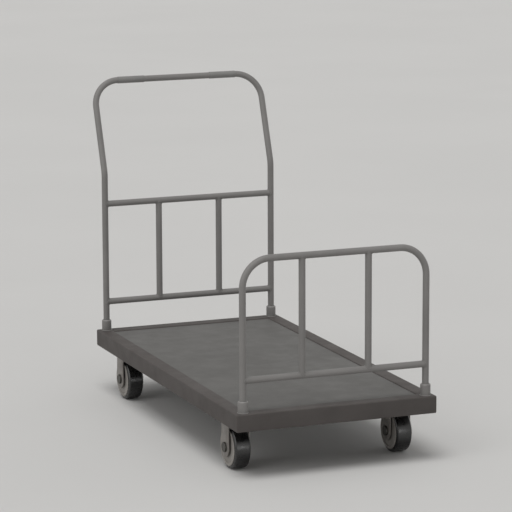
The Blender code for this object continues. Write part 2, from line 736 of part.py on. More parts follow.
def build_swivel_fork(shop, side, x, pivot):
    """A swivel fork: its crown carries the lower raceway about the kingpin, and its legs trail to the axle."""
    crown_top = CROWN_TOP - AXLE_HEIGHT
    fork, helpers = fork_blank(shop, f"swivel_fork_{side}", crown_top, -SWIVEL_TRAIL)
    seat = crown_top - FORK_SHEET / 2
    boss = raceway_boss(shop, "crown_boss", seat, CROWN_BOSS_TOP - AXLE_HEIGHT)
    bore = drill(shop, "crown_bore", KINGPIN_DIAMETER / 2 + TURNING_FIT, 4 * RACE_BOSS_HEIGHT, SMALL_STEPS)
    boss.location = (0.0, -SWIVEL_TRAIL, 0.0)
    bore.location = (0.0, -SWIVEL_TRAIL, crown_top)
    boolean(fork, boss, "UNION")
    boolean(fork, bore, "DIFFERENCE")
    move_all([fork, boss, bore, *helpers], (x, SWIVEL_AXLE_Y, AXLE_HEIGHT))
    carry(fork, pivot)


def build_axle(shop, place, side, centre, pivot=None):
    """The axle bolt with its round head, the nut on its far end, and the sleeve that spaces the fork's legs."""
    shank = AXLE_DIAMETER / 2
    head = shank + AXLE_HEAD_WIDTH
    seat = FORK_WIDTH / 2 + FIT
    edge = AXLE_HEAD_HEIGHT / 3
    end = seat + NUT_HEIGHT + AXLE_THREAD_END
    bolt_profile = [
        (0.0, end),
        (shank - edge / 2, end),
        (shank, end - edge / 2),
        (shank, -seat),
        (head, -seat),
        (head, -seat - 2 * edge),
        (head - edge, -seat - AXLE_HEAD_HEIGHT),
        (0.0, -seat - AXLE_HEAD_HEIGHT),
    ]
    bolt = turned(shop, f"axle_bolt_{place}_{side}", bolt_profile, "fastener_steel", SMALL_STEPS)

    nut_name = f"axle_nut_{place}_{side}"
    hexagon = circle_points(NUT_WIDTH / 2 / math.cos(math.pi / 6), 6)
    hole = circle_points(shank + FIT, SMALL_STEPS, math.pi / SMALL_STEPS)
    nut = shop.add(nut_name, outline_mesh(nut_name, [hexagon, hole], NUT_HEIGHT), "fastener_steel")

    half = FORK_GAP / 2 - FIT
    inner = shank + FIT
    outer = shank + SLEEVE_WALL
    sleeve_profile = [(inner, half), (outer, half), (outer, -half), (inner, -half)]
    sleeve = turned(shop, f"axle_sleeve_{place}_{side}", sleeve_profile, "race_steel", SMALL_STEPS, ring=True)
    for obj, along in ((bolt, 0.0), (nut, seat + NUT_HEIGHT / 2), (sleeve, 0.0)):
        obj.rotation_euler = (0.0, math.pi / 2, 0.0)
        obj.location = Vector(centre) + Vector((along, 0.0, 0.0))
        if pivot:
            carry(obj, pivot)


def core_profile():
    """Half of a wheel core's section from its hub's face out to its tyre seat, as (radius, height) points."""
    lip = WHEEL_DIAMETER / 2 - TYRE_HEIGHT
    seat = lip - RIM_LIP_HEIGHT
    face = CORE_WIDTH / 2
    bush = AXLE_DIAMETER / 2 + SLEEVE_WALL + BUSH_WALL
    hub = bush + HUB_WALL
    return [
        (bush + FIT, HUB_LENGTH / 2),
        (hub, HUB_LENGTH / 2),
        (hub + CORE_DISH / 2, face - CORE_DISH),
        (seat - RIM_BAND, face - CORE_DISH),
        (seat - RIM_BAND + CORE_DISH / 2, face),
        (lip, face),
        (lip, TYRE_WIDTH / 2),
        (seat, TYRE_WIDTH / 2),
    ]


def tyre_profile():
    """Half of a tyre's section, from its seat out over its shoulder to its tread."""
    tread = WHEEL_DIAMETER / 2
    lip = tread - TYRE_HEIGHT
    root = TYRE_WIDTH / 2 - FIT
    half = TREAD_WIDTH / 2
    angles = [math.pi / 2 * i / ROUNDING_STEPS for i in range(ROUNDING_STEPS + 1)]
    shoulder = [
        (tread - TREAD_ROUNDING * (1 - math.sin(a)), half - TREAD_ROUNDING * (1 - math.cos(a))) for a in angles
    ]
    return [(lip - RIM_LIP_HEIGHT + FIT, root), (lip, root), *shoulder]


def build_wheel(shop, place, side, centre):
    """A moulded core with a rubber tyre between its lips and a plain bush in its hub."""
    pivot = shop.pivot(f"wheel_axis_{place}_{side}", centre)
    for kind, half, finish in (
        ("wheel_core", core_profile(), "wheel_plastic"),
        ("tyre", tyre_profile(), "tyre_rubber"),
    ):
        whole = half + [(radius, -height) for radius, height in reversed(half)]
        piece = turned(shop, f"{kind}_{place}_{side}", whole, finish, WHEEL_STEPS, ring=True)
        piece.rotation_euler = (0.0, math.pi / 2, 0.0)
        piece.location = centre
        carry(piece, pivot)
    sleeve = AXLE_DIAMETER / 2 + SLEEVE_WALL
    inner = sleeve + TURNING_FIT
    outer = sleeve + BUSH_WALL
    half = HUB_LENGTH / 2
    profile = [(inner, half), (outer, half), (outer, -half), (inner, -half)]
    bush = turned(shop, f"wheel_bush_{place}_{side}", profile, "bush_plastic", SMALL_STEPS, ring=True)
    bush.rotation_euler = (0.0, math.pi / 2, 0.0)
    bush.location = centre
    carry(bush, pivot)


def build_deck(shop):
    build_rim(shop)
    build_panel(shop)
    bearer_width = PLATE_LENGTH + 2 * BEARER_MARGIN
    build_channel(shop, "caster_bearer_front", bearer_width, FIXED_AXLE_Y)
    build_channel(shop, "caster_bearer_rear", bearer_width, KINGPIN_Y)
    for place, offset in (("front", -STIFFENER_SPACING / 2), ("rear", STIFFENER_SPACING / 2)):
        build_channel(shop, f"deck_stiffener_{place}", STIFFENER_WIDTH, DECK_Y + offset)
    for place, y in (("front", GUARD_Y), ("rear", HANDLE_Y)):
        for side, x in (("left", -POST_X), ("right", POST_X)):
            build_socket(shop, f"socket_{place}_{side}", x, y)


def build_casters(shop):
    for side, x in (("left", -WHEEL_X), ("right", WHEEL_X)):
        fixed_centre = (x, FIXED_AXLE_Y, AXLE_HEIGHT)
        build_fixed_bracket(shop, side, x)
        build_axle(shop, "front", side, fixed_centre)
        build_wheel(shop, "front", side, fixed_centre)

        pivot = shop.pivot(f"swivel_axis_{side}", (x, KINGPIN_Y, AXLE_HEIGHT))
        swivel_centre = (x, SWIVEL_AXLE_Y, AXLE_HEIGHT)
        build_swivel_mount(shop, side, x)
        build_swivel_fork(shop, side, x, pivot)
        build_axle(shop, "rear", side, swivel_centre, pivot)
        build_wheel(shop, "rear", side, swivel_centre)


def finish_shapes(shop):
    """Keeps each piece as the mesh that its modifiers make, shaded smooth between its sharp edges."""
    bpy.context.view_layer.update()
    graph = bpy.context.evaluated_depsgraph_get()
    pieces = [obj for obj in shop.parts.objects if obj.type == "MESH"]
    shapes = [bpy.data.meshes.new_from_object(piece.evaluated_get(graph)) for piece in pieces]
    for piece, shape in zip(pieces, shapes):
        piece.modifiers.clear()
        piece.data = shape
        shape.name = piece.name
        shape.shade_smooth()
        shape.set_sharp_from_angle(angle=math.radians(35))


def main():
    clear_scene()
    shop = Workshop()
    build_deck(shop)
    build_handle(shop)
    build_guard(shop)
    build_casters(shop)
    finish_shapes(shop)


main()
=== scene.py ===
"""The finish of an industrial platform trolley: painted deck and tube work, plated casters, rubber tyres.

Metres, +Z up. +X runs across the deck and +Y along it, towards the push handle.
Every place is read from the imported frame, and every shape is a surface worked out as whole arrays.
"""

import logging
import math
from collections.abc import Sequence
from dataclasses import dataclass, field
from enum import Enum

import bmesh
import bpy
import numpy as np
from mathutils import Matrix, Vector

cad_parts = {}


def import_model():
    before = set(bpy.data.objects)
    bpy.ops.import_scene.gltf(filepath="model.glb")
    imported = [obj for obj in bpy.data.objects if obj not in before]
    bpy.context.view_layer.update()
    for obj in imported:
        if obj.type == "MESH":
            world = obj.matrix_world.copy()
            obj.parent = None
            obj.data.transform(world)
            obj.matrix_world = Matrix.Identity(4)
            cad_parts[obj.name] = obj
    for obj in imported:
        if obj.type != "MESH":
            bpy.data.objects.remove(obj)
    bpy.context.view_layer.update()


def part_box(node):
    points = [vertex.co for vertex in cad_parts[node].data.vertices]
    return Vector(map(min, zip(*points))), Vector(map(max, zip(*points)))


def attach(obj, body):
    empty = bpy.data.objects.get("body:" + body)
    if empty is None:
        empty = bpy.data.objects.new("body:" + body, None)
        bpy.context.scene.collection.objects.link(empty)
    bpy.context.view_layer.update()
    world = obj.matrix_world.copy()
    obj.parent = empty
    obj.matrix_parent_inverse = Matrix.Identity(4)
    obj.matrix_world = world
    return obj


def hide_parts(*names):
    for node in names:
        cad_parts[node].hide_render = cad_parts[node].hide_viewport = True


LOG = logging.getLogger("trolley")
SHARP_ANGLE = math.radians(38)
MERGE_DISTANCE = 1e-7
FULL_TURN = 2 * math.pi
# Point attribute that paints edges lighter: partly paint rubbed thin, partly a painted edge highlight.
WEAR_AND_HIGHLIGHT = "edge_wear_and_highlight"

Array = np.ndarray
Point = tuple[float, float, float]
Line = Sequence[Sequence[float]]
Socket = bpy.types.NodeSocket
Value = Socket | float | Sequence[float]


class Side(Enum):
    """The two sides of the deck."""

    LEFT = "left"
    RIGHT = "right"


class Place(Enum):
    """The two ends of the deck. The push handle stands at the rear."""

    FRONT = "front"
    REAR = "rear"


class Axis(Enum):
    """The axis of a turned piece, as the order in which its across, up and along become x, y and z."""

    X = (2, 0, 1)
    Z = (0, 1, 2)


class Facing(Enum):
    """Where a piece made about +Z is turned to look: each new coordinate's old one, and its sign."""

    RIGHT = ((2, 1), (1, 1), (0, -1))
    DOWN = ((0, 1), (1, -1), (2, -1))


class Join(Enum):
    """Ways to join two values in a node tree."""

    TIMES = "MULTIPLY"
    PLUS = "ADD"
    LARGER = "MAXIMUM"


class Slot(Enum):
    """The record's finishes."""

    DECK = "deck_paint"
    # The rim's finish: the same grey paint as the tubes, darkened as painted shade.
    RIM = "rim_paint"
    UNDERFRAME = "underframe_paint"
    TUBE = "tube_paint"
    GRIP = "grip_vinyl"
    CASTER = "caster_steel"
    FASTENER = "fastener_steel"
    RACE = "race_steel"
    CORE = "wheel_plastic"
    BUSH = "bush_plastic"
    TYRE = "tyre_rubber"


# Shapes


@dataclass
class Shell:
    """Closed surfaces, collected as arrays of points and lists of faces, that become one mesh."""

    points: list[Array] = field(default_factory=list)
    wear_and_highlight: list[Array] = field(default_factory=list)
    faces: list[list[int]] = field(default_factory=list)
    count: int = 0

    def grid(
        self,
        points: Array,
        wrap_rows: bool = False,
        caps: bool = False,
        wear_and_highlight: Array | None = None,
    ) -> "Shell":
        """Adds a grid of points, whose columns go all the way round, as four-sided faces.

        Each face joins the points (r, c), (r, c+1), (r+1, c+1) and (r+1, c).

        Args:
            points: rows x columns x 3 places.
            wrap_rows: whether the last row joins the first.
            caps: whether the first and last rows are closed by one flat face each.
            wear_and_highlight: rows x columns shares of edge rubbing and painted edge highlight, or none.

        Returns:
            The shell itself.
        """
        rows, columns = points.shape[:2]
        down, across = np.arange(rows if wrap_rows else rows - 1), np.arange(columns)
        r, c = np.meshgrid(down, across, indexing="ij")
        r_next, c_next = (r + 1) % rows, (c + 1) % columns
        corners = [r * columns + c, r * columns + c_next, r_next * columns + c_next, r_next * columns + c]
        quads = np.stack(corners, axis=-1).reshape(-1, 4) + self.count
        self.faces += quads.tolist()
        if caps:
            self.faces.append((self.count + across)[::-1].tolist())
            self.faces.append((self.count + (rows - 1) * columns + across).tolist())
        self.points.append(points.reshape(-1, 3))
        worn_and_highlit = np.zeros((rows, columns)) if wear_and_highlight is None else np.broadcast_to(wear_and_highlight, (rows, columns))
        self.wear_and_highlight.append(worn_and_highlit.reshape(-1))
        self.count += rows * columns
        return self

    def mesh(self, name: str) -> bpy.types.Mesh:
        """Joins the surfaces, closes their seams and poles, and turns their faces outwards.

        Args:
            name: the mesh's name.

        Returns:
            The mesh, shaded smooth between its sharp edges, with its edge rubbing and painted edge highlight
            as a point attribute.
        """
        mesh = bpy.data.meshes.new(name)
        mesh.from_pydata(np.concatenate(self.points), [], self.faces)
        worn_and_highlit = mesh.attributes.new(WEAR_AND_HIGHLIGHT, "FLOAT", "POINT")
        worn_and_highlit.data.foreach_set("value", np.concatenate(self.wear_and_highlight).astype(np.float32))
        bm = bmesh.new()
        bm.from_mesh(mesh)
        bmesh.ops.remove_doubles(bm, verts=bm.verts, dist=MERGE_DISTANCE)
        bmesh.ops.recalc_face_normals(bm, faces=bm.faces)
        bm.to_mesh(mesh)
        bm.free()
        mesh.shade_smooth()
        mesh.set_sharp_from_angle(angle=SHARP_ANGLE)
        return mesh


def unit(vectors: Array) -> Array:
    """Vectors divided by their lengths, along the last axis."""
    return vectors / np.linalg.norm(vectors, axis=-1, keepdims=True)


def around(steps: int) -> Array:
    """Even angles once round a circle, without a doubled end."""
    return np.linspace(0, FULL_TURN, steps, endpoint=False)


def mirrored(outline: Array) -> Array:
    """The mirror images, (x, -y), of an outline's points, in reverse."""
    return (outline * (1, -1))[::-1]


def rectangle(first: Sequence[float], third: Sequence[float]) -> list[tuple[float, float]]:
    """A rectangle's corners from its first and third, where the second has the third's x."""
    return [(first[0], first[1]), (third[0], first[1]), (third[0], third[1]), (first[0], third[1])]


def bent_line(corners: Line, radii: Sequence[float], steps: int = 6) -> tuple[Array, Array]:
    """A flat line whose corners are bent to arcs, with its right-hand normals.

    At a corner the normal turns evenly from one side's to the other's, n(t), and the line's point is the
    arc's centre less n(t) times the radius, or plus it where the line turns left. A radius of 0 keeps the
    point and turns the normal only, so that a line set off to the right still rounds the corner.

    Args:
        corners: (x, y) points of the line.
        radii: one radius for each inner corner.
        steps: steps of each arc.

    Returns:
        Points and normals, each n x 2.
    """
    places = np.asarray(corners, float)
    ways = unit(np.diff(places, axis=0))
    normals = np.stack([ways[:, 1], -ways[:, 0]], axis=1)
    points, sides = [places[:1]], [normals[:1]]
    share = np.linspace(0, 1, steps + 1)[:, None]
    for corner, radius, way, before, after in zip(places[1:-1], radii, ways, normals, normals[1:]):
        turn = before[0] * after[1] - before[1] * after[0]
        angle = math.atan2(turn, float(before @ after))
        cos, sin = np.cos(angle * share), np.sin(angle * share)
        parts = [before[0] * cos - before[1] * sin, before[0] * sin + before[1] * cos]
        normal = np.concatenate(parts, axis=1)
        side = 1.0 if turn < 0 else -1.0
        start = corner - way * radius * math.tan(abs(angle) / 2)
        centre = start + side * radius * before
        points.append(centre - side * radius * normal)
        sides.append(normal)
    points.append(places[-1:])
    sides.append(normals[-1:])
    return np.concatenate(points), np.concatenate(sides)


def fitting_radii(corners: Line, radii: Sequence[float], share: float = 0.499) -> Array:
    """Radii cut down so that no arc takes more than a share of the shorter straight run beside it.

    An arc that turns by a takes r tan(a / 2) of the run on each side of its corner.

    Args:
        corners: (x, y) points of the line.
        radii: the radius wanted at each inner corner.
        share: the most that an arc may take, just under half, because each run lies between two arcs.

    Returns:
        The radius that fits at each inner corner.
    """
    runs = np.diff(np.asarray(corners, float), axis=0)
    lengths = np.linalg.norm(runs, axis=1)
    ways = runs / lengths[:, None]
    turn = np.arccos(np.clip(np.sum(ways[:-1] * ways[1:], axis=1), -1, 1))
    room = share * np.minimum(lengths[:-1], lengths[1:])
    no_turn = 1e-6
    return np.minimum(radii, room / np.maximum(np.tan(turn / 2), no_turn))


def loop_line(corners: Line, radii: Sequence[float] | float, steps: int = 4) -> Array:
    """A closed flat outline with rounded corners, started in the middle of its last side.

    Args:
        corners: (x, y) corners in order.
        radii: one radius for all corners, or one for each.
        steps: steps of each arc.

    Returns:
        The outline's points, n x 2, without a doubled end.
    """
    places = np.asarray(corners, float)
    each = [float(radii)] * len(places) if np.isscalar(radii) else list(radii)
    middle = (places[0] + places[-1]) / 2
    points, _ = bent_line([middle, *places, middle], each, steps)
    return points[:-1]


def bent_path(corners: Sequence[Point], radius: float, steps: int = 16) -> Array:
    """A line through corners in space, each bent to an arc: centre + u(t).

    u(t) turns evenly from one end's direction to the other's: (sin((1-t)a) u0 + sin(ta) u1) / sin a.

    Args:
        corners: places of the line's corners.
        radius: the radius of every bend.
        steps: steps of each arc.

    Returns:
        The line's points, n x 3.
    """
    places = np.asarray(corners, float)
    points = [places[:1]]
    share = np.linspace(0, 1, steps + 1)[:, None]
    for before, corner, after in zip(places, places[1:], places[2:]):
        back, ahead = unit(before - corner), unit(after - corner)
        half = math.acos(float(back @ ahead)) / 2
        run = radius / math.tan(half)
        centre = corner + unit(back + ahead) * radius / math.sin(half)
        first, last = corner + back * run - centre, corner + ahead * run - centre
        sweep = math.pi - 2 * half
        arc = (np.sin((1 - share) * sweep) * first + np.sin(share * sweep) * last) / math.sin(sweep)
        points.append(centre + arc)
    points.append(places[-1:])
    return np.concatenate(points)


def carried(
    path: Array,
    radius: Array | float,
    flat: Sequence[float],
    sides: int,
    closed: bool = False,
) -> Array:
    """A circle carried along a path: path + radius (cos a u + sin a v), for a row of angles at each point.

    At each point u is the given direction made square to the path, and v is the path's direction x u.

    Args:
        path: n x 3 points.
        radius: one radius, or one for each point.
        flat: a direction that the path is never parallel to.
        sides: points round the circle.
        closed: whether the path's end joins its start.

    Returns:
        n x sides x 3 places.
    """
    ahead = np.roll(path, -1, axis=0) - np.roll(path, 1, axis=0) if closed else np.gradient(path, axis=0)
    along = unit(ahead)
    level = np.asarray(flat, float)
    first = unit(level - (along @ level)[:, None] * along)
    second = np.cross(along, first)
    angle = around(sides)[None, :, None]
    wide = np.broadcast_to(radius, (len(path),))[:, None, None]
    return path[:, None, :] + wide * (np.cos(angle) * first[:, None, :] + np.sin(angle) * second[:, None, :])


def turned(profile: Array, centre: Sequence[float], axis: Axis, steps: int = 64) -> Array:
    """A profile turned about an axis: centre + h axis + r (cos a u + sin a v), for its every (r, h).

    Args:
        profile: (radius, height) points, n x 2.
        centre: where height 0 lies on the axis.
        axis: the axis.
        steps: points round it.

    Returns:
        n x steps x 3 places.
    """
    angle = around(steps)
    radius, height = profile[:, :1], profile[:, 1:]
    parts = [radius * np.cos(angle), radius * np.sin(angle), np.broadcast_to(height, (len(profile), steps))]
    return np.stack([parts[i] for i in axis.value], axis=-1) + np.asarray(centre, float)


def slab(outline: Array, low: float, high: float, rounding: float, steps: int = 3) -> Array:
    """A flat plate whose edges are rounded: the outline moves in by r (1 - sin a) as its height nears a face.

    Args:
        outline: (x, y) points of the edge in order, n x 2.
        low: the lower face's height.
        high: the upper face's height.
        rounding: the radius of the edges.
        steps: steps of each rounding.

    Returns:
        Rows from the lower face to the upper one, each as long as the outline.
    """
    after = np.roll(outline, -1, axis=0)
    along = unit(after - np.roll(outline, 1, axis=0))
    doubled_area = np.sum(outline[:, 0] * after[:, 1] - outline[:, 1] * after[:, 0])
    inwards = np.stack([-along[:, 1], along[:, 0]], axis=1) * np.sign(doubled_area)
    angle = np.linspace(0, math.pi / 2, steps + 1)
    inset = rounding * (1 - np.sin(angle))
    rise = rounding * (1 - np.cos(angle))
    insets = np.concatenate([inset, inset[::-1]])
    heights = np.concatenate([low + rise, high - rise[::-1]])
    flat = outline[None] + insets[:, None, None] * inwards[None]
    return np.concatenate([flat, np.broadcast_to(heights[:, None, None], (*flat.shape[:2], 1))], axis=-1)


@dataclass(frozen=True)
class Bead:
    """A weld bead, whose ripples overlap.

    Its radius, how far each ripple swells as a share of that, and a ripple's length in radii, which is
    rounded to whole ripples. Its mesh gets a number of stations for each ripple and of sides round it. At
    an open end the share under the square root stops at the tip's.
    """

    radius: float
    swell: float = 0.14
    pitch: float = 1.5
    stations: int = 6
    sides: int = 8
    tip: float = 0.02

    def along(self, path: Array, flat: Sequence[float], closed: bool = True) -> Array:
        """A circle carried along a joint. At arc length s its radius is w (1 + swell |sin(pi s / pitch)|).

        An open bead is round at its ends: there the radius falls with the square root of the distance left.

        Args:
            path: the joint's line, n x 3.
            flat: a direction that the path is never parallel to.
            closed: whether the joint runs all the way round.

        Returns:
            A grid of places.
        """
        ends = np.vstack([path, path[:1]]) if closed else path
        length = np.concatenate([[0.0], np.cumsum(np.linalg.norm(np.diff(ends, axis=0), axis=1))])
        ripples = max(round(length[-1] / (self.pitch * self.radius)), 1)
        stations = np.linspace(0, length[-1], ripples * self.stations, endpoint=not closed)
        line = np.stack([np.interp(stations, length, ends[:, i]) for i in range(3)], axis=1)
        wave = np.abs(np.sin(math.pi * stations / length[-1] * ripples))
        width = self.radius * (1 + self.swell * wave)
        if not closed:
            to_end = np.minimum(stations, length[-1] - stations)
            width *= np.sqrt(np.clip(to_end / self.radius, self.tip, 1))
        return carried(line, width, flat, self.sides, closed)


def box_centre(node: str) -> Array:
    """The middle of a frame node's box."""
    low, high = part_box(node)
    return (np.array(low) + np.array(high)) / 2


def box_size(node: str) -> Array:
    """The size of a frame node's box."""
    low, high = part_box(node)
    return np.array(high) - np.array(low)


# Finishes


def linear(colour: Sequence[float], share: float = 1.0, lift: float = 0.0) -> tuple[float, ...]:
    """A colour of 0 to 255 display values, times a share and lifted, as a shader's linear values.

    Up to 0.04045 a display value is 12.92 times the linear one, and above that 1.055 L^(1/2.4) - 0.055.

    Args:
        colour: red, green and blue.
        share: what they are multiplied by.
        lift: what is added to them.

    Returns:
        Linear red, green and blue, and 1.
    """
    shown = np.minimum(np.asarray(colour, float) * share + lift, 255) / 255
    values = np.where(shown <= 0.04045, shown / 12.92, ((shown + 0.055) / 1.055) ** 2.4)
    return (*[float(v) for v in values], 1.0)


@dataclass(frozen=True)
class Pattern:
    """Noise on a piece.

    Its cells to a metre, its finer layers and how strong they are, the part of its range that shows, and
    its scale along X, Y and Z.
    """

    scale: float
    detail: float
    rough: float = 0.5
    start: float = 0.3
    end: float = 0.7
    stretch: Point = (1.0, 1.0, 1.0)


WORN_AND_HIGHLIT_PATCHES = Pattern(17, 5, rough=0.6, end=0.8)


class Wiring:
    """A node tree, with short calls to add nodes and join them."""

    def __init__(self, tree: bpy.types.NodeTree) -> None:
        """Takes the tree that it adds to."""
        self.tree = tree
        self.nodes = tree.nodes

    def add(self, kind: str, inputs: dict[str, Value] | None = None, **settings: str) -> bpy.types.Node:
        """Adds a shader node.

        Args:
            kind: the node's type without its ShaderNode prefix.
            inputs: a value or an output socket for each named input.
            settings: the node's own properties.

        Returns:
            The node.
        """
        node = self.nodes.new("ShaderNode" + kind)
        for name, value in settings.items():
            setattr(node, name, value)
        for name, value in (inputs or {}).items():
            self.feed(node.inputs[name], value)
        return node

    def feed(self, socket: Socket, value: Value) -> None:
        """Sets a socket's value, or joins an output to it.

        Args:
            socket: the input.
            value: what it gets.
        """
        if isinstance(value, Socket):
            self.tree.links.new(value, socket)
        else:
            socket.default_value = value

    def join(self, kind: Join, first: Value, second: Value) -> Socket:
        """Joins two values by arithmetic.

        Args:
            kind: the way of joining.
            first: one value.
            second: the other.

        Returns:
            The result's socket.
        """
        node = self.add("Math", operation=kind.value)
        self.feed(node.inputs[0], first)
        self.feed(node.inputs[1], second)
        return node.outputs["Value"]

    def mix(self, share: Value, first: Socket, second: Socket) -> Socket:
        """Mixes two shaders.

        Args:
            share: the second one's share.
            first: one shader.
            second: the other.

        Returns:
            The mixed shader's socket.
        """
        node = self.add("MixShader", {"Fac": share})
        self.feed(node.inputs[1], first)
        self.feed(node.inputs[2], second)
        return node.outputs["Shader"]


class Coat(Wiring):
    """One material, with the calls that lay patterns over a piece."""

    def __init__(self, name: str) -> None:
        """Starts a material that holds a Principled shader.

        Args:
            name: the material's name.
        """
        self.material = bpy.data.materials.new(name)
        self.material.use_nodes = True
        super().__init__(self.material.node_tree)
        self.shader = self.nodes["Principled BSDF"]
        self.place = self.add("TexCoord").outputs["Object"]

    def noise(self, pattern: Pattern) -> Socket:
        """Noise from 0 to 1 at a place on the piece.

        Args:
            pattern: the noise wanted.

        Returns:
            The noise's socket.
        """
        at = self.add("Mapping", {"Vector": self.place, "Scale": pattern.stretch}).outputs["Vector"]
        settings = {"Scale": pattern.scale, "Detail": pattern.detail, "Roughness": pattern.rough}
        return self.add("TexNoise", {"Vector": at, **settings}).outputs["Fac"]

    def patches(self, pattern: Pattern, low: float = 0.0, high: float = 1.0) -> Socket:
        """Noise whose shown range is mapped smoothly to low to high.

        Args:
            pattern: the noise and its range.
            low: the value up to the range's start.
            high: the value from its end on.

        Returns:
            The value's socket.
        """
        values = {"From Min": pattern.start, "From Max": pattern.end, "To Min": low, "To Max": high}
        node = self.add("MapRange", {"Value": self.noise(pattern), **values}, interpolation_type="SMOOTHSTEP")
        return node.outputs["Result"]

    def blend(self, share: Value, first: Value, second: Value) -> Socket:
        """Blends two colours.

        Args:
            share: the second one's share.
            first: one colour.
            second: the other.

        Returns:
            The colour's socket.
        """
        node = self.add("Mix", data_type="RGBA")
        by_name = {socket.identifier: socket for socket in node.inputs}
        self.feed(by_name["Factor_Float"], share)
        self.feed(by_name["A_Color"], first)
        self.feed(by_name["B_Color"], second)
        return next(socket for socket in node.outputs if socket.identifier == "Result_Color")

    def relief(self, pattern: Pattern, depth: float) -> Socket:
        """A normal tilted by noise of a depth in metres."""
        height = self.noise(pattern)
        return self.add("Bump", {"Height": height, "Distance": depth, "Strength": 1.0}).outputs["Normal"]

    def worn_and_highlit(self) -> Socket:
        """The share of edge rubbing and painted edge highlight at a point, broken up by noise so that it
        comes and goes along an edge.
        """
        edge = self.add("Attribute", attribute_name=WEAR_AND_HIGHLIGHT, attribute_type="GEOMETRY").outputs["Fac"]
        return self.join(Join.TIMES, edge, self.patches(WORN_AND_HIGHLIT_PATCHES))

    def changed(self, value: Value, share: Value, change: float) -> Socket:
        """A value to which a share of a change is added."""
        return self.join(Join.PLUS, value, self.join(Join.TIMES, share, change))

    def lay(self, inputs: dict[str, Value]) -> bpy.types.Material:
        """Feeds the shader.

        Args:
            inputs: a value or an output socket for each named input.

        Returns:
            The finished material.
        """
        for name, value in inputs.items():
            self.feed(self.shader.inputs[name], value)
        return self.material


@dataclass(frozen=True)
class Finish:
    """What every finish has: its slot, its colour, and a roughness that wanders a little over the piece."""

    slot: Slot
    colour: Point
    roughness: float = 0.5
    sheen: Pattern = Pattern(19, 4)
    smoother: float = 0.05
    duller: float = 0.08

    def rough(self, coat: Coat) -> Socket:
        """The roughness from place to place."""
        return coat.patches(self.sheen, self.roughness - self.smoother, self.roughness + self.duller)

    def varied(self, coat: Coat, share: Socket, change: float) -> Socket:
        """The colour, from a little darker to a little lighter by a share."""
        return coat.blend(share, linear(self.colour, 1 - change), linear(self.colour, 1 + change))


@dataclass(frozen=True)
class SatinPaint(Finish):
    """Baked satin paint on steel: faint mottling, an orange-peel skin, and edges painted lighter, partly
    paint polished thin and partly a painted highlight.
    """

    duller: float = 0.07
    gloss: float = 0.3
    clouds: Pattern = Pattern(7, 5, rough=0.6)
    mottling: float = 0.05
    scuffs: float = 0.0
    scratches: Pattern = Pattern(26, 8, 0.7, 0.55, 0.75, (12.0, 0.9, 1.0))
    scratched_areas: Pattern = Pattern(4, 3, start=0.4, end=0.75)
    scratch_shade: float = 1.28
    scratch_polish: float = -0.12
    worn_and_highlit_shade: float = 1.3
    worn_and_highlit_lift: float = 8.0
    worn_polish: float = -0.1
    peel: Pattern = Pattern(520, 2)
    peel_depth: float = 0.00005

    def material(self) -> bpy.types.Material:
        """Mixes the paint.

        Returns:
            The finish as a material.
        """
        coat = Coat(self.slot.value)
        colour = self.varied(coat, coat.patches(self.clouds), self.mottling)
        rough = self.rough(coat)
        if self.scuffs:
            streak = coat.join(Join.TIMES, coat.patches(self.scratches), coat.patches(self.scratched_areas))
            streak = coat.join(Join.TIMES, streak, self.scuffs)
            colour = coat.blend(streak, colour, linear(self.colour, self.scratch_shade))
            rough = coat.changed(rough, streak, self.scratch_polish)
        # Edges are painted lighter: partly paint polished thin, partly a painted edge highlight.
        edge = coat.worn_and_highlit()
        return coat.lay(
            {
                "Base Color": coat.blend(edge, colour, linear(self.colour, self.worn_and_highlit_shade, self.worn_and_highlit_lift)),
                "Roughness": coat.changed(rough, edge, self.worn_polish),
                "Normal": coat.relief(self.peel, self.peel_depth),
                "Specular IOR Level": self.gloss,
            }
        )


@dataclass(frozen=True)
class PlatedSteel(Finish):
    """Zinc-plated steel: a soft spangle, finger-dulled patches and a fine grain."""

    roughness: float = 0.42
    sheen: Pattern = Pattern(60, 5)
    smoother: float = 0.06
    metallic: float = 0.5
    spangle: float = 0.05
    spangle_scale: float = 150.0
    stains: Pattern = Pattern(24, 6, 0.62, 0.5, 0.78)
    stain_share: float = 0.5
    stain_shade: float = 0.82
    worn_and_highlit_shade: float = 1.3
    grain: Pattern = Pattern(420, 3)
    grain_depth: float = 0.00002

    def material(self) -> bpy.types.Material:
        """Mixes the plating.

        Returns:
            The finish as a material.
        """
        coat = Coat(self.slot.value)
        cells = coat.add("TexVoronoi", {"Vector": coat.place, "Scale": self.spangle_scale}, feature="F1")
        grey = coat.add("RGBToBW", {"Color": cells.outputs["Color"]}).outputs["Val"]
        stain = coat.patches(self.stains, 0.0, self.stain_share)
        stained = linear(self.colour, self.stain_shade)
        colour = coat.blend(stain, self.varied(coat, grey, self.spangle), stained)
        return coat.lay(
            {
                # Edges are painted lighter: partly rubbed plating, partly a painted edge highlight.
                "Base Color": coat.blend(coat.worn_and_highlit(), colour, linear(self.colour, self.worn_and_highlit_shade)),
                "Metallic": self.metallic,
                "Roughness": self.rough(coat),
                "Normal": coat.relief(self.grain, self.grain_depth),
            }
        )


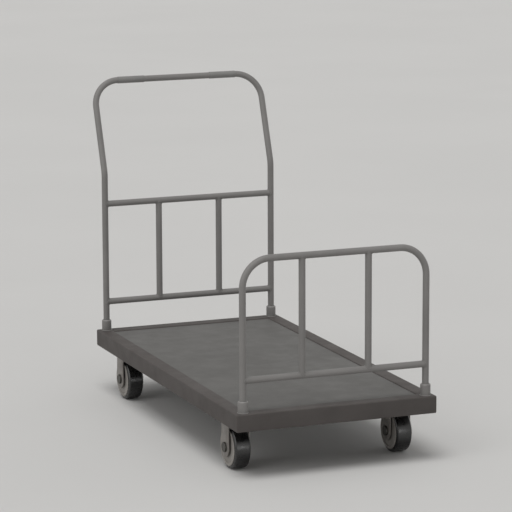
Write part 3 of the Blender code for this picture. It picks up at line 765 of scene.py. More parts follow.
@dataclass(frozen=True)
class Moulded(Finish):
    """Moulded plastic or rubber: a matt mould texture, flow marks, and dust that settles in patches."""

    sheen: Pattern = Pattern(55, 5)
    gloss: float = 0.4
    flow: Pattern = Pattern(11, 4)
    flow_marks: float = 0.05
    texture: Pattern = Pattern(900, 2)
    texture_depth: float = 0.00003
    dust: float = 0.1
    dust_colour: Point = (120, 116, 110)
    dust_patches: Pattern = Pattern(38, 7, 0.66, 0.5, 0.8)
    dust_dulls: float = 0.8

    def material(self) -> bpy.types.Material:
        """Mixes the plastic or rubber.

        Returns:
            The finish as a material.
        """
        coat = Coat(self.slot.value)
        dust = coat.patches(self.dust_patches, 0.0, self.dust)
        colour = self.varied(coat, coat.patches(self.flow), self.flow_marks)
        return coat.lay(
            {
                "Base Color": coat.blend(dust, colour, linear(self.dust_colour)),
                "Roughness": coat.changed(self.rough(coat), dust, self.dust_dulls),
                "Normal": coat.relief(self.texture, self.texture_depth),
                "Specular IOR Level": self.gloss,
            }
        )


GRIP_SKIN, TYRE_SKIN = Pattern(700, 2), Pattern(600, 2)
FINISHES = (
    SatinPaint(Slot.DECK, (98, 97, 95), roughness=0.60, gloss=0.2, mottling=0.03, scuffs=0.07),
    # The rim's paint is the tubes' grey painted darker: painted shade on the rim's ledge and faces.
    SatinPaint(Slot.RIM, (78, 74, 72), roughness=0.58, gloss=0.2, mottling=0.04),
    SatinPaint(Slot.UNDERFRAME, (78, 75, 72), roughness=0.62, mottling=0.06),
    SatinPaint(Slot.TUBE, (124, 122, 120), roughness=0.48, mottling=0.03),
    PlatedSteel(Slot.CASTER, (122, 118, 114)),
    PlatedSteel(Slot.FASTENER, (84, 82, 78), roughness=0.4, metallic=0.7),
    PlatedSteel(Slot.RACE, (100, 99, 97), roughness=0.3, metallic=0.85, spangle=0.02),
    Moulded(Slot.GRIP, (123, 122, 120), roughness=0.62, texture=GRIP_SKIN, texture_depth=0.00005, dust=0.08),
    Moulded(Slot.CORE, (138, 134, 129), dust=0.12, dust_colour=(110, 106, 99)),
    Moulded(Slot.BUSH, (150, 148, 142), roughness=0.45),
    Moulded(
        Slot.TYRE,
        (18, 18, 18),
        roughness=0.27,
        gloss=0.8,
        texture=TYRE_SKIN,
        texture_depth=0.00002,
        dust=0.06,
        dust_colour=(64, 62, 58),
    ),
)


class Bench:
    """Makes finished pieces: it holds the finishes and puts each piece on its body."""

    def __init__(self) -> None:
        """Mixes every finish once."""
        self.materials = {finish.slot: finish.material() for finish in FINISHES}
        self.made = 0

    def finish(self, name: str, shell: Shell, slot: Slot, body: str, nodes: Sequence[str] = ()) -> None:
        """Makes a piece from its surfaces, at the origin.

        Args:
            name: the piece's name.
            shell: its surfaces, in their place.
            slot: its finish.
            body: the body that it moves with.
            nodes: the frame's nodes that it stands for.
        """
        mesh = shell.mesh(name)
        mesh.materials.append(self.materials[slot])
        piece = bpy.data.objects.new(name, mesh)
        bpy.context.scene.collection.objects.link(piece)
        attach(piece, body)
        if nodes:
            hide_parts(*nodes)
        self.made += 1
        LOG.info("%s: %d faces, on %s", name, len(mesh.polygons), body)

    def stand_in(self, node: str, shell: Shell, slot: Slot, body: str) -> None:
        """Makes the piece that stands for one of the frame's nodes."""
        self.finish(f"{node}_fine", shell, slot, body, [node])


# The deck


@dataclass
class Deck:
    """The welded chassis: four folded rails round a load panel, channels under it, a socket in each corner.

    The sizes follow the pieces: the rails' section and mitres, their lighter edges (rubbed paint with a
    painted highlight), the panel, the channels, and the sockets from the tube that they take to the weld
    round each collar.
    """

    bench: Bench
    flange: float = 0.042
    lip: float = 0.018
    ledge: float = 0.014
    sheet: float = 0.0025
    bend: float = 0.004
    corner: float = 0.003
    mitre_steps: int = 4
    seat: float = 0.0063
    wear_and_highlight_reach: float = 0.003
    fold_wear_and_highlight: float = 0.3
    roll_wear_and_highlight: float = 0.55
    foot_wear_and_highlight: float = 0.6
    panel_corner: float = 0.002
    panel_rounding: float = 0.0009
    panel_wear_and_highlight: float = 0.6
    channel_bend: float = 0.005
    channel_play: float = 0.001
    cope: float = 0.0035
    tube_radius: float = 0.0095
    tube_play: float = 0.0005
    collar_wall: float = 0.0045
    collar_chamfer: float = 0.003
    collar_lead: float = 0.0035
    collar_gap: float = 0.0003
    collar_wear_and_highlight: float = 0.25
    mouth_margin: float = 0.001
    spigot_wall: float = 0.0025
    spigot_floor: float = 0.003
    socket_roundings: tuple[float, ...] = (0.0, 0.0006, 0.0008, 0.0010, 0.0002, 0.0, 0.0010)
    weld: Bead = Bead(0.0014)
    weld_proud: float = 0.3
    weld_points: int = 96

    def __post_init__(self) -> None:
        """Reads the rim's box from its four rails."""
        boxes = [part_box(name) for name in self.rails()]
        self.low = np.min([tuple(low) for low, _ in boxes], axis=0)
        self.high = np.max([tuple(high) for _, high in boxes], axis=0)

    @staticmethod
    def rails() -> dict[str, float]:
        """Each rail's node, and how far it is turned about Z from the left side."""
        sides = {"side_rail_left": 0.0, "side_rail_right": math.pi}
        return {**sides, "end_rail_front": math.pi / 2, "end_rail_rear": -math.pi / 2}

    def build(self) -> None:
        """Builds and dresses every piece of the deck."""
        for name, turn in self.rails().items():
            self.build_rail(name, turn)
        self.build_panel()
        for kind in ("caster_bearer", "deck_stiffener"):
            for place in Place:
                self.build_channel(f"{kind}_{place.value}")
        for place in Place:
            for side in Side:
                self.build_socket(f"socket_{place.value}_{side.value}")

    def rail_outline(self) -> Array:
        """The rim's closed section, from its bottom lip round to its ledge and back inside the fold.

        Returns:
            (inwards, up from the top) points, n x 2.
        """
        height = self.high[2] - self.low[2]
        corners = [(self.lip, -height), (0, -height), (0, 0), (self.flange, 0), (self.flange, -self.seat)]
        corners.append((self.flange + self.ledge, -self.seat))
        outer, inwards = bent_line(corners, (self.bend, self.bend, self.bend, 0.0))
        return np.concatenate([outer, (outer + self.sheet * inwards)[::-1]])

    def build_rail(self, name: str, turn: float) -> None:
        """One rail, mitred at both ends.

        A point of the section at depth d from the outer face runs along the rail at x = d. Towards the end
        it turns round the deck's corner, whose radius is r, on an arc of radius r - d up to the mitre, and
        where d is more than r it runs straight to the mitre. At distance s from a lightened edge line, the
        share of rubbed paint and painted edge highlight is the line's share of e^-(s / reach)^2.

        Args:
            name: the rail's node.
            turn: how far it is turned about Z from the left side.
        """
        outline = self.rail_outline()
        deep, high = outline[:, 0], outline[:, 1]
        size = self.high - self.low
        width, length = (size[1], size[0]) if name.startswith("end") else (size[0], size[1])
        angle = np.linspace(math.pi / 4, 0, self.mitre_steps + 1)[:, None]
        radius = self.corner - deep[None]
        inside = radius < 0
        x = np.where(inside, deep[None], self.corner - radius * np.cos(angle))
        y = np.where(inside, deep[None], self.corner - radius * np.sin(angle)) - length / 2
        x, y = np.concatenate([x, x[::-1]]), np.concatenate([y, -y[::-1]])
        points = np.stack([x - width / 2, y, np.broadcast_to(high, x.shape)], axis=-1)
        middle = (self.low + self.high) / 2
        spun = np.array(Matrix.Rotation(turn, 3, "Z"))
        points = points @ spun.T + np.array([middle[0], middle[1], self.high[2]])
        # The fold, the roll and the foot are painted lighter along their edges: partly rubbed paint, partly a
        # painted edge highlight.
        fold, roll, foot = (0.0, 0.0), (self.flange, 0.0), (0.0, high.min())
        worn_and_highlit = np.zeros(len(outline))
        for share, line in ((self.fold_wear_and_highlight, fold), (self.roll_wear_and_highlight, roll), (self.foot_wear_and_highlight, foot)):
            distance = np.hypot(deep - line[0], high - line[1])
            worn_and_highlit += share * np.exp(-((distance / self.wear_and_highlight_reach) ** 2))
        self.bench.stand_in(name, Shell().grid(points, caps=True, wear_and_highlight=worn_and_highlit), Slot.RIM, "deck")

    def build_panel(self) -> None:
        """The load panel, a flat plate with broken edges that are painted lighter round its upper face:
        partly rubbed paint, partly a painted edge highlight.
        """
        low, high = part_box("deck_panel")
        points = slab(loop_line(rectangle(low, high), self.panel_corner), low.z, high.z, self.panel_rounding)
        worn_and_highlit = np.zeros(points.shape[:2])
        worn_and_highlit[len(worn_and_highlit) // 2 + 1 : -1] = self.panel_wear_and_highlight
        self.bench.stand_in("deck_panel", Shell().grid(points, caps=True, wear_and_highlight=worn_and_highlit), Slot.DECK, "deck")

    def build_channel(self, name: str) -> None:
        """A folded channel across the deck, web down, its flanges cut lower at the ends to clear the ledge.

        Args:
            name: the channel's node.
        """
        low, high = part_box(name)
        half = (high.y - low.y) / 2
        corners = [(half, 0), (half, low.z - high.z), (-half, low.z - high.z), (-half, 0)]
        outer, inwards = bent_line(corners, (self.channel_bend, self.channel_bend), steps=5)
        outline = np.concatenate([outer, (outer + self.sheet * inwards)[::-1]])
        full, coped = outline[:, 1], np.minimum(outline[:, 1], -self.cope)
        step = self.high[0] - self.flange - self.ledge - self.channel_play
        y = outline[:, 0] + (low.y + high.y) / 2
        stations = zip((low.x, -step, -step, step, step, high.x), (coped, coped, full, full, coped, coped))
        rows = [np.stack([np.full(len(y), x), y, top + high.z], axis=1) for x, top in stations]
        self.bench.stand_in(name, Shell().grid(np.stack(rows), caps=True), Slot.UNDERFRAME, "deck")

    def build_socket(self, name: str) -> None:
        """A turned collar with its blind bore, its spigot under the flange and its weld bead on the rim.

        Args:
            name: the socket's node.
        """
        low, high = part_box(name)
        centre = box_centre(name)
        place = (centre[0], centre[1], self.high[2])
        top, floor = high.z - self.high[2] + self.collar_lead, low.z - self.high[2]
        bore = self.tube_radius + self.tube_play
        collar, spigot = bore + self.collar_wall, bore + self.spigot_wall
        corners = [
            (0.0, floor + self.spigot_floor),
            (bore, floor + self.spigot_floor),
            (bore, top),
            (collar - self.collar_chamfer, top),
            (collar, top - self.collar_chamfer),
            (collar, self.collar_gap),
            (spigot, self.collar_gap),
            (spigot, floor),
            (0.0, floor),
        ]
        profile, _ = bent_line(corners, self.socket_roundings, steps=4)
        # The collar's top edge is painted lighter: partly rubbed paint, partly a painted highlight on its
        # chamfer.
        worn_and_highlit = self.collar_wear_and_highlight * np.exp(-(((profile[:, 1] - top) / self.wear_and_highlight_reach) ** 2))
        worn_and_highlit *= profile[:, 0] > bore + self.mouth_margin
        shell = Shell().grid(turned(profile, place, Axis.Z), wear_and_highlight=worn_and_highlit[:, None])
        proud = self.weld.radius * self.weld_proud
        circle = np.array([[collar + proud, proud]])
        seam = turned(circle, place, Axis.Z, self.weld_points)[0]
        shell.grid(self.weld.along(seam, (0, 0, 1)), wrap_rows=True)
        self.bench.stand_in(name, shell, Slot.TUBE, "deck")


# The hoops


def saddle(angle: Array, radius: float, meets: float) -> Array:
    """How far a tube's end stands off the middle of the tube that it meets.

    At angle a round the tube it is the square root of R^2 - (r cos a)^2, where r is the tube's radius and R
    the radius that it meets, and a starts at a side that looks square to both tubes.

    Args:
        angle: places round the tube.
        radius: the tube's radius.
        meets: the radius that it meets.

    Returns:
        The distance at each angle.
    """
    return np.sqrt(np.maximum(meets**2 - (radius * np.cos(angle)) ** 2, 0.0))


@dataclass
class Hoop:
    """A bent tube that stands in two sockets, with level rails, upright bars and a weld bead at every joint.

    A bead's middle lies outside the tube and off the joint by the two shares of its radius.
    """

    bench: Bench
    body: str
    place: Place
    tube_radius: float = 0.0095
    tube_wall: float = 0.0015
    bend: float = 0.080
    tube_sides: int = 32
    fit: float = 0.0003
    coped_sides: int = 48
    weld: Bead = Bead(0.0012)
    weld_outside: float = 0.25
    weld_off: float = 0.8

    def __post_init__(self) -> None:
        """Reads where the hoop stands and where its top bar lies."""
        self.node = f"{self.body}_hoop"
        self.post_x, self.post_y = box_centre(f"socket_{self.place.value}_right")[:2]
        low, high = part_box(self.node)
        self.foot_z = low.z
        self.top_y, self.top_z = self.post_y, high.z - self.tube_radius

    def left_corners(self) -> list[Point]:
        """The corners of the hoop's line on the left. The guard's uprights run straight to the top bar."""
        return [(-self.post_x, self.post_y, self.foot_z), (-self.post_x, self.top_y, self.top_z)]

    def build_hoop(self) -> None:
        """The bent tube, open at its feet: its outer skin runs foot to foot, and its inner wall runs back."""
        left = self.left_corners()
        path = bent_path(left + [(-x, y, z) for x, y, z in reversed(left)], self.bend)
        lean = unit(np.array([0.0, self.top_z - self.foot_z, self.post_y - self.top_y]))
        outer = carried(path, self.tube_radius, lean, self.tube_sides)
        inner = carried(path, self.tube_radius - self.tube_wall, lean, self.tube_sides)[::-1]
        shell = Shell().grid(np.concatenate([outer, inner]), wrap_rows=True)
        self.bench.stand_in(self.node, shell, Slot.TUBE, self.body)

    def build_member(self, name: str, start: Sequence[float], end: Sequence[float]) -> None:
        """A straight tube whose ends are coped to tubes of its own size, with a bead round each saddle.

        Both tubes of a joint are square to Y, so the coped end reaches furthest on the sides that look
        along Y.

        Args:
            name: the tube's node.
            start: the middle of the joint at its start.
            end: the middle of the joint at its end.
        """
        first, last = np.array(start), np.array(end)
        way = unit(last - first)
        side = np.array([0.0, 1.0, 0.0])
        angle = around(self.coped_sides)[:, None]
        turn = np.cos(angle) * side + np.sin(angle) * np.cross(way, side)
        meets = self.tube_radius + self.fit
        outer, inner = self.tube_radius, self.tube_radius - self.tube_wall
        rows = [
            first + turn * outer + way * saddle(angle, outer, meets),
            last + turn * outer - way * saddle(angle, outer, meets),
            last + turn * inner - way * saddle(angle, inner, meets),
            first + turn * inner + way * saddle(angle, inner, meets),
        ]
        shell = Shell().grid(np.stack(rows), wrap_rows=True)
        reach = self.tube_radius + self.weld.radius * self.weld_outside
        depth = np.sqrt((reach * np.sin(angle)) ** 2 + (self.weld.radius * self.weld_off) ** 2)
        for joint, sign in ((first, 1.0), (last, -1.0)):
            seam = joint + turn * reach + way * sign * depth
            shell.grid(self.weld.along(seam, way), wrap_rows=True)
        self.bench.stand_in(name, shell, Slot.TUBE, self.body)

    def build_rail(self, name: str) -> None:
        """A level rail between the uprights."""
        _, y, z = box_centre(name)
        self.build_member(name, (-self.post_x, y, z), (self.post_x, y, z))

    def build_bar(self, side: Side, rail: str, top: float) -> None:
        """An upright bar.

        Args:
            side: the side that it stands on.
            rail: the node of the rail that it stands on.
            top: the height of the joint at its top.
        """
        name = f"{self.body}_bar_{side.value}"
        x, y, _ = box_centre(name)
        self.build_member(name, (x, y, box_centre(rail)[2]), (x, y, top))


@dataclass
class Guard(Hoop):
    """The low hoop at the front."""

    body: str = "guard"
    place: Place = Place.FRONT

    def build(self) -> None:
        """Builds and dresses every piece of the guard."""
        self.build_hoop()
        self.build_rail("guard_rail")
        for side in Side:
            self.build_bar(side, "guard_rail", self.top_z)


@dataclass
class Handle(Hoop):
    """The push handle: a tall hoop that leans back above its upper rail, with a vinyl grip at each bend."""

    body: str = "handle"
    place: Place = Place.REAR
    kink: float = 0.492
    grip_play: float = 0.0001
    grip_rounding: float = 0.0008
    grip_end: float = 0.002
    ring_pitch: float = 0.006
    ring_depth: float = 0.0001
    ring_stations: int = 121

    def __post_init__(self) -> None:
        """Reads where the handle stands, and its top bar's place from the grips."""
        super().__post_init__()
        self.kink_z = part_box("side_rail_left")[1].z + self.kink
        self.top_y, self.top_z = box_centre("grip_right")[1:]

    def left_corners(self) -> list[Point]:
        """The corners of the hoop's line on the left, with the kink where it starts to lean."""
        foot, top = super().left_corners()
        return [foot, (-self.post_x, self.post_y, self.kink_z), top]

    def build(self) -> None:
        """Builds and dresses every piece of the handle."""
        self.build_hoop()
        self.build_rail("handle_lower_rail")
        self.build_rail("handle_upper_rail")
        upper = box_centre("handle_upper_rail")[2]
        for side in Side:
            self.build_bar(side, "handle_lower_rail", upper)
            self.build_grip(f"grip_{side.value}")

    def build_grip(self, name: str) -> None:
        """A sleeve with rolled ends and shallow finger rings.

        At distance s along it, its radius is R - depth ((1 + cos(2 pi s / pitch)) / 2)^4.

        Args:
            name: the grip's node.
        """
        size = box_size(name)
        inner, outer, half = self.tube_radius + self.grip_play, size[2] / 2, size[0] / 2
        corners = rectangle((inner, half), (outer, -half))
        ends, _ = bent_line(corners, (self.grip_rounding, self.grip_rounding), steps=5)
        along = np.linspace(half - self.grip_end, self.grip_end - half, self.ring_stations)
        dips = self.ring_depth * (0.5 + 0.5 * np.cos(FULL_TURN * along / self.ring_pitch)) ** 4
        cut = len(ends) // 2
        profile = np.concatenate([ends[:cut], np.stack([outer - dips, along], axis=1), ends[cut:]])
        shell = Shell().grid(turned(profile, box_centre(name), Axis.X, steps=40), wrap_rows=True)
        self.bench.stand_in(name, shell, Slot.GRIP, self.body)


# The casters


def facing(points: Array, way: Facing) -> Array:
    """Points made about +Z, turned to look another way."""
    return np.stack([points[..., index] * sign for index, sign in way.value], axis=-1)


def hexagon_head(across: float, height: float, shoulder: float = 0.94, steps: int = 72) -> Array:
    """A hexagon head with its turned chamfer, standing on height 0, as a grid about Z.

    At angle a the hexagon's radius is half its width across flats over cos(a'), where a' is a less the
    nearest flat's angle. The chamfer is a cone, so its edge drops by the tangent of 30 degrees times how
    far the hexagon reaches past the shoulder.

    Args:
        across: the width across flats.
        height: the head's height.
        shoulder: where the chamfer starts, as a share of half the width.
        steps: points round it.

    Returns:
        Rows from the middle of the upper face to the middle of the lower one.
    """
    angle = around(steps)
    flat = across / 2
    corner = flat / np.cos((angle + math.pi / 6) % (math.pi / 3) - math.pi / 6)
    start = np.full(steps, shoulder * flat)
    drop = height - (corner - start) * math.tan(math.pi / 6)
    zero, level = np.zeros(steps), np.full(steps, height)
    radii = np.stack([zero, start, corner, corner, zero])
    heights = np.stack([level, level, drop, zero, zero])
    return np.stack([radii * np.cos(angle), radii * np.sin(angle), heights], axis=-1)


@dataclass(frozen=True)
class Washer:
    """A round washer with broken edges. Its hole is hidden, so it is closed."""

    radius: float
    thickness: float
    rounding: float = 0.0004

    def profile(self) -> Array:
        """Its (radius, height) outline, n x 2, standing on height 0."""
        corners = rectangle((0, self.thickness), (self.radius, 0))
        return bent_line(corners, (self.rounding, self.rounding), steps=3)[0]


def plain_ring(centre: Array, inner: float, outer: float, half: float, rounding: float = 0.0004) -> Shell:
    """A plain ring about X with broken edges, such as the sleeve or the bush.

    Args:
        centre: its middle.
        inner: its inner radius.
        outer: its outer radius.
        half: half its length.
        rounding: the radius of its edges.

    Returns:
        A shell that holds the ring.
    """
    outline = loop_line(rectangle((inner, half), (outer, -half)), rounding, steps=3)
    return Shell().grid(turned(outline, centre, Axis.X, steps=48), wrap_rows=True)


@dataclass
class Axle:
    """An axle bolt with its nut and washer, and the sleeve that it clamps between the fork's legs.

    The sizes follow the pieces: the bolt and its head, its cut thread, the nut's washer and the sleeve.
    """

    bench: Bench
    tag: str
    body: str
    centre: Array
    fork_gap: float
    fork_sheet: float
    radius: float = 0.006
    fit: float = 0.0003
    recess_inset: float = 0.0042
    recess_slope: float = 0.0008
    recess_depth: float = 0.0009
    head_roundings: tuple[float, ...] = (0.0002, 0.0016, 0.0004, 0.0003)
    thread_pitch: float = 0.00175
    thread_depth: float = 0.0009
    thread_lead: float = 0.0015
    thread_stations: int = 140
    thread_sides: int = 48
    washer: Washer = Washer(0.0118, 0.0012)
    sleeve_wall: float = 0.0025

    def build(self) -> None:
        """Builds and dresses the bolt, the nut and the sleeve."""
        self.build_bolt()
        self.build_nut()
        half = self.fork_gap / 2 - self.fit
        sleeve = plain_ring(self.centre, self.radius + self.fit, self.radius + self.sleeve_wall, half)
        self.bench.stand_in(f"axle_sleeve_{self.tag}", sleeve, Slot.RACE, self.body)

    def build_bolt(self) -> None:
        """The bolt, whose recessed round head is on the left and whose threaded end takes the nut."""
        name = f"axle_bolt_{self.tag}"
        low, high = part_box(name)
        middle = self.centre[0]
        seat, top = self.fork_gap / 2 + self.fork_sheet, middle - low.x
        radius = (high.z - low.z) / 2
        recess = radius - self.recess_inset
        corners = [
            (0, -seat),
            (radius, -seat),
            (radius, -top),
            (recess, -top),
            (recess - self.recess_slope, self.recess_depth - top),
            (0, self.recess_depth - top),
        ]
        profile, _ = bent_line(corners, self.head_roundings)
        shell = Shell().grid(turned(profile, self.centre, Axis.X, steps=72))
        thread_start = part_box(f"axle_nut_{self.tag}")[0].x - middle
        shell.grid(self.shank(-seat, high.x - middle, thread_start) + self.centre)
        self.bench.stand_in(name, shell, Slot.FASTENER, self.body)

    def shank(self, start: float, end: float, thread_start: float) -> Array:
        """The bolt's shank, with a thread on its end.

        At x along it and angle a round it, the radius is R - depth |2 frac(x / pitch - a / 2 pi) - 1|. The
        thread fades in over one pitch, and the tip narrows to the thread's root over the lead.

        Args:
            start: where the shank starts along X.
            end: where it ends.
            thread_start: where its thread starts.

        Returns:
            Rows along the shank, closed at both ends.
        """
        reach = np.linspace(start, end, self.thread_stations)[:, None]
        angle = around(self.thread_sides)[None]
        wave = np.abs(((reach / self.thread_pitch - angle / FULL_TURN) % 1) * 2 - 1)
        thread = np.clip((reach - thread_start) / self.thread_pitch, 0, 1)
        lead = np.clip((end - reach) / self.thread_lead, 0, 1)
        radius = self.radius - self.thread_depth * np.maximum(wave * thread, 1 - lead)
        point = np.zeros((1, self.thread_sides))
        radius = np.concatenate([point, radius, point])
        reach = np.concatenate([reach[:1], reach, reach[-1:]])
        rows = [np.broadcast_to(reach, radius.shape), radius * np.cos(angle), radius * np.sin(angle)]
        return np.stack(rows, axis=-1)

    def build_nut(self) -> None:
        """The hexagon nut on its washer, to the right of the fork."""
        name = f"axle_nut_{self.tag}"
        length, *widths = box_size(name)
        seat = np.array((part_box(name)[0].x, *self.centre[1:]))
        thickness = self.washer.thickness
        nut = facing(hexagon_head(min(widths), length - thickness), Facing.RIGHT)
        shell = Shell().grid(nut + seat + (thickness, 0, 0))
        shell.grid(turned(self.washer.profile(), seat, Axis.X, steps=48))
        self.bench.stand_in(name, shell, Slot.FASTENER, self.body)


@dataclass
class Wheel:
    """A moulded core on a plain bush, with a rubber tyre.

    The sizes run outwards: the bush, the hub, the dished disc with its groove, the rim band, the lip that
    holds the tyre, the seat under it, and the tyre from its root to its crowned tread.
    """

    bench: Bench
    tag: str
    bush_bore: float = 0.009
    bush_radius: float = 0.012
    core_bore: float = 0.0123
    hub_radius: float = 0.017
    draft: float = 0.0012
    face_inset: float = 0.00225
    dish_inset: float = 0.00425
    groove_edge: float = 0.0022
    groove_floor: float = 0.0016
    groove_depth: float = 0.0008
    band_height: float = 0.006
    lip_cover: float = 0.0012
    lip_chamfer: float = 0.0022
    lip_drop: float = 0.0011
    lip_edge: float = 0.0015
    seat_depth: float = 0.0028
    hub_roundings: tuple[float, ...] = (0.0003, 0.0008, 0.0009)
    groove_roundings: tuple[float, ...] = (0.0004, 0.0003, 0.0005)
    lip_roundings: tuple[float, ...] = (0.0006, 0.0005, 0.0001, 0.0001, 0.0002)
    tyre_fit: float = 0.0003
    tyre_play: float = 0.00005
    wall_height: float = 0.0035
    wall_lean: float = 0.0012
    shoulder_drop: float = 0.0005
    shoulder_lean: float = 0.0008
    tread_drop: float = 0.0002
    tread_inset: float = 0.0062
    tread_stations: int = 49
    tyre_roundings: tuple[float, ...] = (0.0003, 0.0012, 0.0052)
    crown: float = 0.0005
    mould_line: float = 0.00004
    mould_line_width: float = 0.0004

    def __post_init__(self) -> None:
        """Reads the core's box and names the wheel's body."""
        self.body = f"wheel_{self.tag}"
        core = f"wheel_core_{self.tag}"
        self.centre = box_centre(core)
        width, _, height = box_size(core)
        self.hub_face = width / 2
        self.lip = height / 2 - self.lip_cover
        self.seat = self.lip - self.seat_depth

    def build(self) -> None:
        """Builds and dresses the core, the tyre and the bush."""
        self.build_turned(f"wheel_core_{self.tag}", self.core_outline(), Slot.CORE, steps=96)
        self.build_turned(f"tyre_{self.tag}", self.tyre_outline(), Slot.TYRE, steps=128)
        bush = plain_ring(self.centre, self.bush_bore, self.bush_radius, self.hub_face)
        self.bench.stand_in(f"wheel_bush_{self.tag}", bush, Slot.BUSH, self.body)

    def build_turned(self, name: str, outline: Array, slot: Slot, steps: int) -> None:
        """A closed outline turned about the axle."""
        shell = Shell().grid(turned(outline, self.centre, Axis.X, steps), wrap_rows=True)
        self.bench.stand_in(name, shell, slot, self.body)

    def core_outline(self) -> Array:
        """The core's section: dished between its hub and its rim band, the same on both sides.

        Returns:
            (radius, along the axle) points, n x 2.
        """
        face, dish = self.hub_face - self.face_inset, self.hub_face - self.dish_inset
        band = self.seat - self.band_height
        corners = [
            (self.core_bore, self.hub_face),
            (self.hub_radius, self.hub_face),
            (self.hub_radius + self.draft, dish),
            (band - self.groove_edge, dish),
            (band - self.groove_floor, dish - self.groove_depth),
            (band, dish - self.groove_depth),
            (band + self.draft, face),
            (self.lip - self.lip_chamfer, face),
            (self.lip, face - self.lip_drop),
            (self.lip, face - self.lip_edge),
            (self.seat, face - self.lip_edge),
        ]
        half = np.array(corners)
        roundings = self.hub_roundings + self.groove_roundings + self.lip_roundings
        return loop_line(np.concatenate([half, mirrored(half)]), roundings + roundings[::-1])

    def tyre_outline(self) -> Array:
        """The tyre's section: upright walls rolled into a crowned tread, with a mould line round its middle.

        At distance s from the middle, the tread's radius is R - crown (s / half width)^2, and the mould
        line adds its height times e^-(s / width)^2.

        Returns:
            (radius, along the axle) points, n x 2.
        """
        tread = self.centre[2] - self.tyre_play
        root = box_size(f"tyre_{self.tag}")[0] / 2 - self.tyre_fit
        half = root - self.wall_lean
        across = np.linspace(half - self.tread_inset, self.tread_inset - half, self.tread_stations)
        wall = [
            (self.seat + self.tyre_fit, root),
            (self.lip, root),
            (self.lip + self.wall_height, half),
            (tread - self.shoulder_drop, half - self.shoulder_lean),
            (tread - self.tread_drop, across[0]),
        ]
        side = bent_line(wall, self.tyre_roundings, steps=8)[0][:-1]
        ridge = self.mould_line * np.exp(-((across / self.mould_line_width) ** 2))
        middle = np.stack([tread - self.crown * (across / half) ** 2 + ridge, across], axis=1)
        return np.concatenate([side, middle, mirrored(side)])


